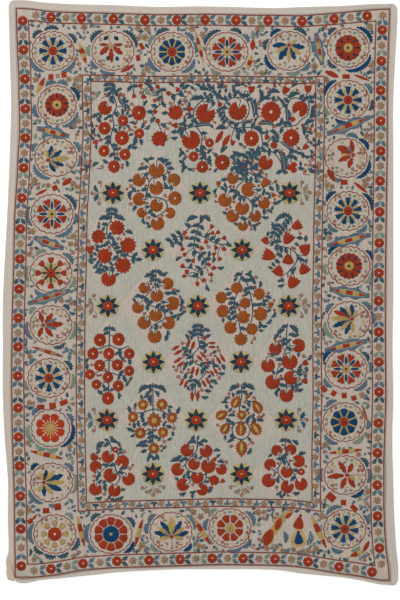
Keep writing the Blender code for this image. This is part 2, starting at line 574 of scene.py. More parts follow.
@dataclass(frozen=True)
class Frames:
    """The four red lines that frame the borders: the outermost by its sides, the others inside it."""

    top: Rows = ((16.5, 8.5), (20, 8.5), (35, 9.5), (48, 11.5), (60, 12.3), (103, 13.3), (156, 14.9),
                 (210, 14.3), (250, 15.3), (270, 15.3), (300, 16), (320, 14.5), (340, 13), (360, 11),
                 (380, 9.5), (390, 9.3))
    bottom: Rows = ((15, 577), (35, 577), (45, 576), (60, 574), (80, 570), (113, 567.5), (167, 565.9),
                    (220, 564.3), (290, 565.5), (312, 568.5), (335, 572.5), (360, 576), (380, 580),
                    (390, 580))
    left: Rows = ((8, 16.3), (50, 17.5), (75, 19), (95, 19), (115, 19.8), (135, 19.8), (150, 18.5),
                  (180, 17.2), (215, 14.7), (270, 13.8), (310, 12.4), (380, 11.7), (435, 12.4), (490, 14.3),
                  (560, 15.3), (578, 15.3))
    right: Rows = ((8, 389.5), (50, 388), (90, 387), (150, 387), (200, 386.2), (250, 385.6), (300, 385),
                   (400, 385.6), (440, 384.3), (460, 383.7), (505, 383.7), (530, 384.5), (550, 386),
                   (570, 388.5), (580, 389.4))

    settling: int = 3

    def warp(self, across: Array, down: Array) -> Array:
        """Place shares of the framed area, 0 to 1 each way, on the guide.

        Args:
            across: Shares from the left line to the right one.
            down: Shares from the top line to the bottom one.

        Returns:
            Places on the guide, one a row.
        """
        left, right, top, bottom = (side.rows(self).T for side in Side)
        x = left[1].mean() + across * (right[1].mean() - left[1].mean())
        y = top[1].mean() + down * (bottom[1].mean() - top[1].mean())
        for _ in range(self.settling):
            x = (1 - across) * np.interp(y, *left) + across * np.interp(y, *right)
            y = (1 - down) * np.interp(x, *top) + down * np.interp(x, *bottom)
        return np.stack([x, y], axis=-1)

    def line(self, ring: Ring, steps: int = 48) -> Array:
        """A framing line as a closed outline in millimetres, clockwise from its upper left corner.

        Args:
            ring: Which line.
            steps: Points on each side.

        Returns:
            The outline's points.
        """
        left, right, top, bottom = ring.value
        corners = np.arange(5)
        u = np.linspace(0, len(corners) - 1, steps * (len(corners) - 1), endpoint=False)
        across = np.interp(u, corners, (left, right, right, left, left))
        return on_cloth(self.warp(across, np.interp(u, corners, (top, top, bottom, bottom, top))))


SHAPE = ClothShape()
FRAMES = Frames()


def new_mesh(name: str, points: Array, corners: Array, sizes: Array) -> bpy.types.Mesh:
    """Make a mesh from arrays.

    Args:
        name: The mesh's name.
        points: Its points in millimetres.
        corners: The points of every face, one face after another.
        sizes: How many corners each face has.

    Returns:
        The mesh.
    """
    mesh = bpy.data.meshes.new(name)
    mesh.vertices.add(len(points))
    mesh.vertices.foreach_set("co", (points * MM).astype(np.float32).ravel())
    mesh.loops.add(len(corners))
    mesh.loops.foreach_set("vertex_index", corners.astype(np.int32))
    mesh.polygons.add(len(sizes))
    mesh.polygons.foreach_set("loop_start", (np.cumsum(sizes) - sizes).astype(np.int32))
    mesh.update(calc_edges=True)
    mesh.validate()
    return mesh


def paint(mesh: bpy.types.Mesh, name: str, colours: Array) -> None:
    """Give each point of a mesh its linear colour."""
    rows = np.column_stack([colours, np.ones(len(colours))])
    mesh.attributes.new(name, "FLOAT_COLOR", "POINT").data.foreach_set("color", rows.ravel())


def stand(mesh: bpy.types.Mesh, finish: ThreadFinish) -> bpy.types.Object:
    """Put a finished mesh in the scene as a piece that moves with the cloth.

    Args:
        mesh: The mesh, in place and with the piece's name.
        finish: Its finish.

    Returns:
        The new piece.
    """
    mesh.materials.append(finish.material())
    piece = bpy.data.objects.new(mesh.name, mesh)
    bpy.context.scene.collection.objects.link(piece)
    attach(piece, BODY)
    LOG.info("%s: %d faces", mesh.name, len(mesh.polygons))
    return piece


# A laid stitch is a low ridge with sloping ends, and a chain link a low oval mound. Each has its points
# in the stitch's own directions (along, across, up) and its faces, all facing outwards.
LAID_FACES = ((0, 1, 5, 4), (2, 3, 4, 5), (3, 0, 4), (1, 2, 5), (0, 3, 2, 1))
LINK_RIM = ((-0.5, 0, 0), (-0.27, -0.5, 0), (0.27, -0.5, 0), (0.5, 0, 0), (0.27, 0.5, 0), (-0.27, 0.5, 0),
            (0, 0, 1))
LINK_FACES = ((0, 1, 6), (1, 2, 6), (2, 3, 6), (3, 4, 6), (4, 5, 6), (5, 0, 6), (5, 4, 3, 2, 1, 0))


def laid_form(length: Array, width: Array, tall: Array) -> Array:
    """Laid stitches of these sizes, low ridges with sloping ends.

    Args:
        length: Their lengths.
        width: Their widths.
        tall: Their heights.

    Returns:
        Each stitch's points from its middle.
    """
    end, side, none = length / 2, width / 2, 0 * length
    crest = end - np.minimum(END_SLOPE, END_SHARE * length)
    plan = ([-end, end, end, -end, -crest, crest], [-side, -side, side, side, none, none],
            [none, none, none, none, tall, tall])
    return np.stack([np.stack(rows, axis=1) for rows in plan], axis=2)


def link_form(length: Array, width: Array, tall: Array) -> Array:
    """Chain links of these sizes, low oval mounds whose height goes with their width too."""
    size = np.stack([length, width, LINK_HEIGHT * tall + LINK_SWELL * width], axis=1)
    return np.array(LINK_RIM)[None] * size[:, None]


@dataclass
class Needlework:
    """Stitches worked over one part of the cloth, gathered and then made into one mesh."""

    name: str
    threads: list = field(default_factory=list)
    links: list = field(default_factory=list)
    height_sway: tuple = (0.85, 1.1)
    width_sway: tuple = (0.88, 1.12)

    def __post_init__(self) -> None:
        """Start this part's own run of small irregularities."""
        self.chance = np.random.default_rng(sum(ord(c) * (i + 1) for i, c in enumerate(self.name)))

    def gather(self, kind: list, stitches: Sequence[Array], dye: Dye, layer: Layer) -> None:
        """Gather stitches of one dye, each a little uneven in colour.

        Args:
            kind: The threads or the links.
            stitches: Their middles, directions, lengths and widths.
            dye: Their colour.
            layer: How high they lie.
        """
        whole = 1.0 + self.chance.normal(0.0, 0.0 if layer is Layer.GROUND else DYE_SWAY, 3)
        each = 1.0 + self.chance.normal(0.0, THREAD_SWAY, (len(stitches[0]), 1))
        dyes = np.clip(dye.linear() * whole * each, *DYE_LIMITS)
        kind.append((*stitches, dyes, np.full(len(dyes), layer.rank())))

    def fill(self, outlines: Array | list, turn: float, dye: Dye, layer: Layer = Layer.MOTIF,
             pitch: float = MOTIF_PITCH, reach: float = MOTIF_REACH) -> None:
        """Fill closed outlines with parallel laid stitches.

        Args:
            outlines: One outline or several, in millimetres. What lies inside two is left open.
            turn: The direction of the stitches.
            dye: Their colour.
            layer: How high they lie.
            pitch: The distance between stitches.
            reach: The longest stitch.
        """
        laid = [turned(outline, -turn) for outline in
                ([outlines] if isinstance(outlines, Array) else outlines)]
        starts = np.concatenate(laid)
        ends = np.concatenate([np.roll(outline, -1, axis=0) for outline in laid])
        run = ends - starts
        low, high = starts[:, 1].min(), starts[:, 1].max()
        count = max(1, round((high - low) / pitch))
        step = (high - low) / count
        drift = self.chance.uniform(-STITCH_DRIFT, STITCH_DRIFT, count)
        rows = low + (np.arange(count) + 0.5 + drift) * step
        crossing = (starts[:, 1, None] <= rows) != (ends[:, 1, None] <= rows)
        slope = run[:, 0] / np.where(run[:, 1] == 0.0, 1.0, run[:, 1])
        across = starts[:, 0, None] + (rows - starts[:, 1, None]) * slope[:, None]
        across = np.sort(np.where(crossing, across, np.inf), axis=0)
        found = []
        for left, right in zip(across[::2], across[1::2]):
            whole = np.isfinite(right)
            whole[whole] &= right[whole] - left[whole] > LEAST_STITCH
            found.append(np.stack([left[whole], right[whole], rows[whole]], axis=1))
        cuts = self.divided(np.concatenate(found), reach)
        if len(cuts):
            cuts[:, :2] += self.chance.normal(0.0, END_DRIFT, (len(cuts), 2))
            middle = turned(np.stack([cuts[:, :2].mean(axis=1), cuts[:, 2]], axis=1), turn)
            along = np.tile(polar(1.0, turn), (len(cuts), 1))
            wide = np.full(len(cuts), step * STITCH_OVERLAP)
            self.gather(self.threads, (middle, along, cuts[:, 1] - cuts[:, 0], wide), dye, layer)

    def divided(self, cuts: Array, reach: float) -> Array:
        """Divide long stitches, each row out of step with the last as in brickwork.

        Args:
            cuts: Rows of (from, to, place across).
            reach: The longest stitch.

        Returns:
            The rows after dividing.
        """
        length = cuts[:, 1] - cuts[:, 0]
        out = [cuts[length <= reach]]
        for left, right, row in cuts[length > reach]:
            count = max(2, math.ceil((right - left) / reach))
            marks = np.arange(count + 1) - self.chance.uniform(0.0, 1.0)
            marks = left + marks * (right - left) / (count - 0.5)
            marks = marks[(marks > left + LEAST_PART) & (marks < right - LEAST_PART)]
            marks = np.concatenate([[left], marks, [right]])
            out.append(np.stack([marks[:-1], marks[1:], np.full(len(marks) - 1, row)], axis=1))
        return np.concatenate(out)

    def chain(self, path: Array, dye: Dye, width: float, layer: Layer = Layer.DETAIL,
              pitch: float = LINK_PITCH) -> None:
        """Work a line of chain stitch along a path.

        Args:
            path: The path's points in millimetres.
            dye: The colour.
            width: The line's width in millimetres.
            layer: How high it lies.
            pitch: The length of a link.
        """
        middle, heading = evenly(path, pitch)
        wide = width * self.chance.uniform(*self.width_sway, len(middle))
        links = middle, heading, np.full(len(middle), pitch * LINK_OVERLAP), wide
        self.gather(self.links, links, dye, layer)

    def motif(self, outline: Array, at: Array, turn: float, dye: Dye, layer: Layer = Layer.MOTIF,
              grain: float = 90.0, edge: Dye | None = None) -> None:
        """Work a figure: an outline in squares round its own middle, filled in its place.

        Args:
            outline: The outline.
            at: Its middle, in millimetres.
            turn: How far it is turned.
            dye: The filling's colour.
            layer: How high it lies.
            grain: The stitches' direction, from the figure's own +X.
            edge: The colour of its contour, if it has one.
        """
        if edge:
            self.fill(placed(outline, at, turn), turn + grain, edge, Layer.UNDER, UNDER_PITCH)
            outline = drawn_in(outline, CONTOUR)
        self.fill(placed(outline, at, turn), turn + grain, dye, layer)

    def finish(self) -> None:
        """Make the gathered stitches into one piece, with each stitch's dye and its two maps."""
        parts, corners, sizes, base = [], [], [], 0
        for gathered, form, faces in ((self.threads, laid_form, LAID_FACES),
                                      (self.links, link_form, LINK_FACES)):
            if not gathered:
                continue
            middle, along, length, width, dyes, rank = map(np.concatenate, zip(*gathered))
            lift, tall = np.array([layer.value for layer in Layer])[rank].T
            local = form(length, width, tall * self.chance.uniform(*self.height_sway, len(tall)))
            flat = middle[:, None] + local[..., :1] * along[:, None]
            flat += local[..., 1:2] * leftward(along)[:, None]
            high = SHAPE.rise(flat[..., 0], flat[..., 1]) + PANEL_FACE + lift[:, None] + local[..., 2]
            each = local.shape[1]
            parts.append((flat.reshape(-1, 2), high.ravel(), np.repeat(dyes, each, axis=0),
                          np.repeat(rank, each), local[..., :2].reshape(-1, 2)))
            first = base + each * np.arange(len(middle))[:, None]
            corners.append((first + np.concatenate(faces)).ravel())
            sizes.append(np.tile([len(face) for face in faces], len(middle)))
            base += each * len(middle)
        places, high, dyes, ranks, floss = map(np.concatenate, zip(*parts))
        corners, sizes = np.concatenate(corners), np.concatenate(sizes)
        mesh = new_mesh(self.name, np.column_stack([places, high]), corners, sizes)
        mesh.polygons.foreach_set("use_smooth", np.ones(len(sizes), bool))
        paint(mesh, SILK.attribute, dyes)
        for name, flat in (("OFBake", flat_map(places, ranks)), (SILK.surface, floss)):
            layer = mesh.uv_layers.new(name=name)
            layer.data.foreach_set("uv", flat[corners].astype(np.float32).ravel())
        stand(mesh, SILK)


# The margin round each part of a piece's flat map, as a share of its size
MAP_MARGIN = 0.02


def flat_map(places: Array, ranks: Array) -> Array:
    """Lay the layers of a piece side by side in a square, seen from above.

    Args:
        places: Points (x, y) in millimetres.
        ranks: Each point's layer number.

    Returns:
        A place from 0 to 1 for each point.
    """
    used = np.unique(ranks)
    low, high = places.min(axis=0), places.max(axis=0)
    size = (high - low) * (1 + 2 * MAP_MARGIN)
    axis = 0 if size[0] <= size[1] else 1
    spread = places - low + size * MAP_MARGIN
    spread[:, axis] += np.searchsorted(used, ranks) * size[axis]
    return spread / max(size[axis] * len(used), size[1 - axis])


def toothed(radius: float, count: int, depth: float, flat: float = 1.0) -> Array:
    """A round with so many teeth, as deep as a share of its radius, and flattened where asked."""
    rim = radius * zigzag(2 * count, 1.0, 1 - depth)
    return polar(rim, np.arange(2 * count) * 180.0 / count) * (1.0, flat)


def lobed(radius: float, count: int, depth: float, power: float = 0.6) -> Array:
    """A round with so many scallops, as deep as a share of its radius."""
    degrees = np.arange(count * 6) * 60.0 / count
    return polar(radius * (1 - depth + depth * scallops(degrees, count, power)), degrees)


def pomegranate(radius: float) -> Array:
    """A pomegranate with a narrow notch towards +X for its stalk."""
    notch = polar(np.array([0.7, 0.42, 0.2, 0.42, 0.7]), np.array([-21, -16, 0, 16, 21]))
    return radius * np.concatenate([polar(zigzag(29, 1.0, 0.87), np.linspace(25, 335, 29)), notch])


def carnation(radius: float) -> Array:
    """A carnation, a frilled fan that opens towards +X."""
    waist = [(-0.66, 0.34), (-0.98, 0.12), (-0.98, -0.12), (-0.66, -0.34)]
    return radius * np.concatenate([polar(zigzag(19, 1.04, 0.84), np.linspace(-126, 126, 19)), waist])


def bell(radius: float) -> Array:
    """A bell flower with a fringed mouth towards +X.

    Args:
        radius: Its radius.

    Returns:
        The outline.
    """
    half = np.array([(0.66, 0.0), (0.92, 0.26), (0.66, 0.46), (0.86, 0.86), (0.3, 0.84), (-0.3, 0.7),
                     (-0.76, 0.4), (-0.96, 0.08)])
    return radius * np.concatenate([half, half[:0:-1] * (1, -1)])


def thistle(radius: float, points: int = 13, tip: float = 0.4, spread: float = 24.0) -> Array:
    """A thistle head with its tip towards +X.

    Args:
        radius: Its radius.
        points: How many teeth its rim has.
        tip: How far its tip stands out, as a share of the radius.
        spread: How broad the tip is.

    Returns:
        The outline.
    """
    bearing = np.arange(2 * points) * 180.0 / points
    near = np.exp(-((np.minimum(bearing, 360 - bearing) / spread) ** 2))
    return polar(radius * (1 + tip * near) * zigzag(2 * points, 0.92, 0.6992), bearing) * (1.0, 0.86)


def petal(length: float, wide: float, teeth: int = 0) -> Array:
    """A long petal round the middle, along X, its +Y edge toothed if teeth are asked for.

    Args:
        length: Its length.
        wide: Its width.
        teeth: How many teeth.

    Returns:
        The outline.
    """
    u = np.linspace(0.0, 1.0, (2 * teeth or 8) + 1)
    half = wide / 2 * np.sin(np.pi * u) ** 0.7
    upper = half * zigzag(len(u), 0.75, 1.15) if teeth else half
    x = (u - 0.5) * length
    return joined(np.stack([x, upper], axis=1), np.stack([x, -half], axis=1))


def lens(inner: float, outer: float, half: float) -> Array:
    """A narrow leaf along +X between two radii, from half its width."""
    return petal(outer - inner, 2 * half) + ((inner + outer) / 2, 0.0)


# Leaves up to this long have two barbs, and longer ones are feathers with one toothed edge
SPRIG_LENGTH = 7.0
BARBED_RIM = np.array([(0.56, 0.06), (0.24, 0.14), (0.2, 0.38), (-0.02, 0.19), (-0.14, 0.36), (-0.34, 0.1),
                       (-0.52, 0.05), (-0.42, -0.06), (-0.14, -0.24), (0.2, -0.18)])
TOOTH_PITCH = 2.2
SPINE_BOW = 0.13


def leaf_outline(length: float, bend: float) -> Array:
    """A leaf along X.

    Args:
        length: Its length.
        bend: 1 or -1, the side to which it bows out.

    Returns:
        The outline.
    """
    if length <= SPRIG_LENGTH:
        return BARBED_RIM * (length * 1.1 + 1.6) * (1.0, bend)
    teeth = max(3, round(length / TOOTH_PITCH))
    u = np.arange(2 * teeth + 1) / (2.0 * teeth)
    wide = min(0.3 * length, 1.9 + 0.1 * length) * np.sin(np.pi * u**0.85) ** 0.75
    spine = SPINE_BOW * length * np.sin(np.pi * u)
    x = (u - 0.5) * length
    upper = np.stack([x + zigzag(len(u), 0.0, 0.22 * length / teeth),
                      spine + wide * zigzag(len(u), 0.62, 1.3)], axis=1)
    return joined(upper, np.stack([x, spine - 0.62 * wide], axis=1)) * (1.0, bend)


def wedge(inner: float, outer: float, near: float, far: float, teeth: int = 0) -> Array:
    """A rosette's part along +X.

    Args:
        inner: Where it starts, from the middle.
        outer: Where it ends.
        near: Half its width at the start.
        far: Half its width at the end.
        teeth: Points on its outer end. 0 leaves the end softly round.

    Returns:
        The outline.
    """
    y = np.linspace(-far, far, max(2 * teeth - 1, 5))
    drop = zigzag(len(y), 0.0, 0.15) if teeth else 0.24 * (y / far) ** 2
    rim = np.stack([outer - (outer - inner) * drop, y], axis=1)
    return np.concatenate([[(inner, near), (inner, -near)], rim])


def crescent(radius: float, start: float, finish: float, depth: float, tooth: float = 2.6) -> Array:
    """A leafy arc round a medallion, smooth inside and toothed outside.

    Args:
        radius: The inner edge's radius.
        start: The bearing of one end.
        finish: The bearing of the other end.
        depth: How thick it is at its middle.
        tooth: The size of a tooth.

    Returns:
        The outline.
    """
    teeth = max(3, round(math.radians(abs(finish - start)) * radius / tooth))
    u = np.arange(2 * teeth + 1) / (2.0 * teeth)
    thick = depth * np.sin(np.pi * u) ** 0.55
    bearing = start + u * (finish - start)
    return joined(polar(radius + thick * zigzag(len(u), 0.76, 1.12), bearing), polar(radius, bearing))


class Bloom(Enum):
    """The kinds of flower head in the bouquets."""

    ROUND = "round"
    POMEGRANATE = "pomegranate"
    CARNATION = "carnation"
    BELL = "bell"
    DOUBLE = "double"
    SUN = "sun"
    THISTLE = "thistle"
    BUD = "bud"
    TREFOIL = "trefoil"

    def outline(self, radius: float) -> Array:
        """The flower, its notch, mouth or tip towards +X.

        Args:
            radius: Its radius.

        Returns:
            The outline.
        """
        shapes = {Bloom.ROUND: (toothed, 1.0, 15, 0.13, 0.96), Bloom.SUN: (toothed, 1.0, 11, 0.24),
                  Bloom.BUD: (toothed, 1.0, 7, 0.2), Bloom.TREFOIL: (lobed, 1.0, 3, 0.5),
                  Bloom.POMEGRANATE: (pomegranate, 1.0), Bloom.CARNATION: (carnation, 1.0),
                  Bloom.BELL: (bell, 0.88), Bloom.THISTLE: (thistle, 1.0)}
        shape, size, *more = shapes[self]
        return shape(size * radius, *more)


@dataclass
class Sprays(Needlework):
    """Needlework with flower heads, leaves and tendrils, in squares round a middle in millimetres.

    Widths are of chain stitch, in millimetres. A flower head's own parts are shares of its size.
    """

    middle: Array | tuple = (0.0, 0.0)
    double_petal: tuple = (0.36, 0.26)
    eye: float = 0.15
    least_eye: float = 0.85
    sun_heart: float = 0.36
    thistle_tuft: tuple = (1.3, 0.34)
    vein_reach: tuple = (-0.38, 0.3)
    vein_width: float = 2.2
    stalk_width: float = 2.6
    tendril_width: float = 3.2
    tendril_pitch: float = 3.8
    tendril_reach: float = 3.4
    curl_turn: float = 450.0
    curl_slack: float = 540.0
    stalk_share: float = 0.5
    stalk_reach: float = 3.0
    edged_bloom: float = 3.2

    def spot(self, place: Sequence) -> Array:
        """One place or many, in squares from the middle, as millimetres on the cloth."""
        return np.asarray(self.middle) + np.asarray(place, float) * SQUARE

    def dot(self, place: Sequence, radius: float, teeth: int, dye: Dye, layer: Layer = Layer.DETAIL,
            grain: float = 90.0) -> None:
        """Work a small round figure, such as a flower's eye."""
        self.motif(toothed(radius, teeth, 0.1), self.spot(place), 0, dye, layer, grain)

    def bloom(self, kind: Bloom, place: Sequence[float], size: float, turn: float, dye: Dye) -> None:
        """Work one flower head.

        Args:
            kind: Its kind.
            place: Its middle.
            size: Its radius, or its length where it is double.
            turn: The direction of its notch, mouth or tip.
            dye: Its colour.
        """
        at, edge = self.spot(place), Dye.RUST if size > self.edged_bloom else None
        if kind is Bloom.DOUBLE:
            for side in (-1, 1):
                wide, off = np.array(self.double_petal) * size
                one = petal(size, wide, 4) * (1.0, side) + (0.0, off * side)
                self.motif(one, at, turn, dye, Layer.MOTIF, 0.0, edge)
            return
        self.motif(kind.outline(size), at, turn, dye, Layer.MOTIF, 90.0, edge)
        hearts = {Bloom.ROUND: (max(self.least_eye, self.eye * size), Dye.PALE),
                  Bloom.SUN: (self.sun_heart * size, Dye.WELD)}
        if kind in hearts:
            radius, heart = hearts[kind]
            self.motif(toothed(radius, 7, 0.1), at, turn, heart, Layer.DETAIL)
        elif kind is Bloom.THISTLE:
            tuft = petal(*(np.array(self.thistle_tuft) * size))
            self.motif(tuft, at, turn, Dye.WELD, Layer.DETAIL, 0.0)

    def leaf(self, place: Sequence[float], length: float, turn: float, dye: Dye = Dye.TEAL) -> None:
        """Work one leaf, which bows away from the middle.

        Args:
            place: Its middle.
            length: Its length.
            turn: Its direction.
            dye: Its colour.
        """
        bend = 1 if np.dot(leftward(place), polar(1.0, turn)) < 0 else -1
        edge = Dye.INK if length > SPRIG_LENGTH else None
        self.motif(leaf_outline(length, bend), self.spot(place), turn, dye, Layer.MOTIF, 0.0, edge)
        if length > 2 * SPRIG_LENGTH:
            x = np.linspace(*self.vein_reach, 8)
            vein = np.stack([x * length, SPINE_BOW * length * bend * np.cos(np.pi * x)], axis=1)
            self.chain(placed(vein, self.spot(place), turn), Dye.CREAM, self.vein_width)

    def tendril(self, place: Array, radius: float, root: Array) -> None:
        """Work a tendril that grows from its root and curls up round a place.

        Args:
            place: The curl's middle.
            radius: The curl's radius.
            root: Where it grows from.
        """
        run = np.asarray(root, float) - place
        root = place + run * min(1.0, (radius + self.tendril_reach) / np.hypot(*run))
        hand = 1 if self.chance.random() < 0.5 else -1
        turns = np.linspace(-self.curl_turn, 0, 13)
        curl = polar(radius * (1 + turns / self.curl_slack), bearing_of(run) + hand * (turns - 90))
        path = smooth_path(np.concatenate([place + curl, [root]]), steps=3)
        self.chain(self.spot(path), Dye.ROSE, self.tendril_width, Layer.DETAIL, self.tendril_pitch)

    def sprig(self, place: Array, size: float, root: Array) -> None:
        """Work a small leaf on its own stalk, pointing away from where it grows.

        Args:
            place: Its middle.
            size: Its length.
            root: Where its stalk starts.
        """
        run = place - root
        reach = self.stalk_share * size + self.stalk_reach
        root = place - run * min(1.0, reach / np.hypot(*run))
        self.chain(self.spot([root, place]), Dye.TEAL, self.stalk_width, Layer.STEM)
        self.leaf(place, size, bearing_of(run))


@dataclass
class Room:
    """The places already worked, as rows of (x, y, radius)."""

    circles: Array
    root_depth: float = 0.8

    def gap(self, place: Array) -> float:
        """How far a place is from the nearest of them."""
        return (np.hypot(*(self.circles[:, :2] - place).T) - self.circles[:, 2]).min()

    def take(self, places: Array, radius: float) -> None:
        """Add round figures of one radius."""
        rows = [(x, y, radius) for x, y in np.atleast_2d(places)]
        self.circles = np.concatenate([self.circles, rows])

    def root(self, place: Array, radius: float) -> Array | None:
        """Find where a new round figure would grow from, and take its place.

        Args:
            place: Its middle.
            radius: Its radius.

        Returns:
            The nearest place on what is already there, or None where the figure doesn't fit.
        """
        gaps = np.hypot(*(self.circles[:, :2] - place).T) - self.circles[:, 2]
        nearest = np.argmin(gaps)
        if gaps[nearest] < radius:
            return None
        middle, reach = self.circles[nearest, :2], self.circles[nearest, 2]
        self.take(place, radius)
        return middle + (place - middle) * self.root_depth * reach / np.hypot(*(place - middle))


@dataclass
class Bouquet:
    """A hanging bunch of flowers in one lozenge of the field.

    blooms are rows of (x, y, size, turn, kind), the last two where they differ from the bunch's own,
    and leaves are (x, y, length, turn), the long ones. Widths are of chain stitch, in millimetres.
    dense and sparse, for large and small flowers, are the distance between a stem's leaflets and
    how many places are tried for sprigs. The sprigs' sizes are rows of (up to which try, size).
    """

    name: str
    across: float
    down: float
    kind: Bloom
    dye: Dye
    stems: Rows
    blooms: Rows
    leaves: Rows
    stem_width: float = 5.2
    twig_width: float = 3.8
    twig_lift: float = 0.5
    twig_look: tuple = (1.0, 0.8)
    twig_bow: float = 0.12
    notch: tuple = (1.1, 0.25)
    calyx: float = 0.9
    rim: float = 0.75
    leaflet: float = 5.6
    leaflet_room: float = 1.9
    leaflet_lean: float = 0.6
    leaflet_reach: float = 3.1
    large_bloom: float = 3.9
    dense: tuple = (4.2, 1400)
    sparse: tuple = (6.4, 240)
    double_room: float = 0.55
    leaf_room: float = 0.27
    stem_room: float = 0.8
    stem_step: float = 1.5
    margin: float = 4.0
    lozenge_half: float = 40.0
    lozenge_reach: float = 1.2
    sprigs: Rows = ((160, 3.0), (400, 2.2), (1400, 1.6))
    sprig_room: float = 0.88
    sprig_length: float = 2.45
    tendril_size: float = 0.8
    tendril_most: float = 1.8

    def build(self) -> None:
        """Work the bunch."""
        work = Sprays("bouquet_" + self.name, middle=on_cloth((self.across, self.down)))
        paths = [smooth_path(stem) for stem in self.stems]
        for path in paths:
            work.chain(work.spot(path), Dye.STALK, self.stem_width, Layer.STEM)
        for x, y, size, *rest in self.blooms:
            turn, kind = (*rest, *(90.0, self.kind)[len(rest):])
            self.twig(work, np.concatenate(paths), np.array([x, y]), size, turn, kind)
            work.bloom(kind, (x, y), size, turn, self.dye)
        for x, y, length, turn in self.leaves:
            work.leaf((x, y), length, turn)
        self.fill_in(work, paths)
        work.finish()

    def twig(self, work: Sprays, stem: Array, place: Array, size: float, turn: float,
             kind: Bloom) -> None:
        """Join a flower head to the nearest place on the stem, a little above it.

        Args:
            work: The needlework.
            stem: Every point of the stems.
            place: The flower head's middle.
            size: Its radius.
            turn: Its direction.
            kind: Its kind, which sets where its stalk joins it.
        """
        off = (stem - place - (0.0, self.twig_lift * size)) * self.twig_look
        start = stem[np.argmin(np.hypot(*off.T))]
        run = place - start
        far = np.hypot(*run)
        if far < size:
            return
        facing = polar(size, turn)
        foot = [place - self.calyx * facing]
        ends = {Bloom.POMEGRANATE: [place + share * facing for share in self.notch],
                Bloom.CARNATION: foot, Bloom.BELL: foot}
        ends = ends.get(kind, [place - run / far * self.rim * size])
        bow = leftward(run) * (self.twig_bow if run[0] > 0 else -self.twig_bow)
        path = smooth_path([start, (start + ends[0]) / 2 + bow, *ends])
        work.chain(work.spot(path), Dye.STALK, self.twig_width, Layer.STEM)

    def fill_in(self, work: Sprays, paths: list) -> None:
        """Work small leaves along the stems, and leaves and tendrils in what is left of the lozenge.

        Args:
            work: The needlework.
            paths: The stems.
        """
        room = Room(np.array([row[:3] for row in self.blooms], float))
        large = room.circles[:, 2].mean() > self.large_bloom
        pitch, tries = self.dense if large else self.sparse
        if self.kind is Bloom.DOUBLE:
            room.circles[:, 2] *= self.double_room
        for x, y, length, _ in self.leaves:
            room.take((x, y), self.leaf_room * length)
        low, high = room.circles[:, :2].min(axis=0), room.circles[:, :2].max(axis=0)
        for other in BOUQUETS:
            for x, y, size, *_ in other.blooms if other is not self else ():
                room.take((x + other.across - self.across, y + self.down - other.down), size)
        for path in paths:
            for spot, along in zip(*evenly(path, pitch)):
                for hand in (-1, 1):
                    lean = leftward(along) * hand + self.leaflet_lean * along
                    place = spot + self.leaflet_reach * lean
                    if room.gap(place) > self.leaflet_room:
                        room.take(place, self.leaflet_room)
                        work.leaf(place, self.leaflet, bearing_of(lean))
        for path in paths:
            room.take(evenly(path, self.stem_step)[0], self.stem_room)
        middle, half = (low + high) / 2, (high - low) / 2 + self.margin
        reach = self.lozenge_reach if half[0] < self.lozenge_half else math.inf
        for number, share in enumerate(work.chance.uniform(-1, 1, (tries, 2))):
            size = next(size for last, size in self.sprigs if number < last)
            place, near = middle + share * half, np.abs(share).sum() < reach
            root = room.root(place, self.sprig_room * size) if near else None
            if root is not None and number % 5 < 2:
                work.tendril(place, min(self.tendril_size * size, self.tendril_most), root)
            elif root is not None:
                work.sprig(place, self.sprig_length * size, root)


R, P, C, B = Bloom.ROUND, Bloom.POMEGRANATE, Bloom.CARNATION, Bloom.BELL
D, S, H = Bloom.DOUBLE, Bloom.SUN, Bloom.THISTLE
BUD, TRI = Bloom.BUD, Bloom.TREFOIL
SL, MO, BL, TE, OR = Dye.SLATE, Dye.MOSS, Dye.BLUE, Dye.TEAL, Dye.ORANGE
MA, WE, IN, WA = Dye.MADDER, Dye.WELD, Dye.INDIGO, Dye.WALNUT

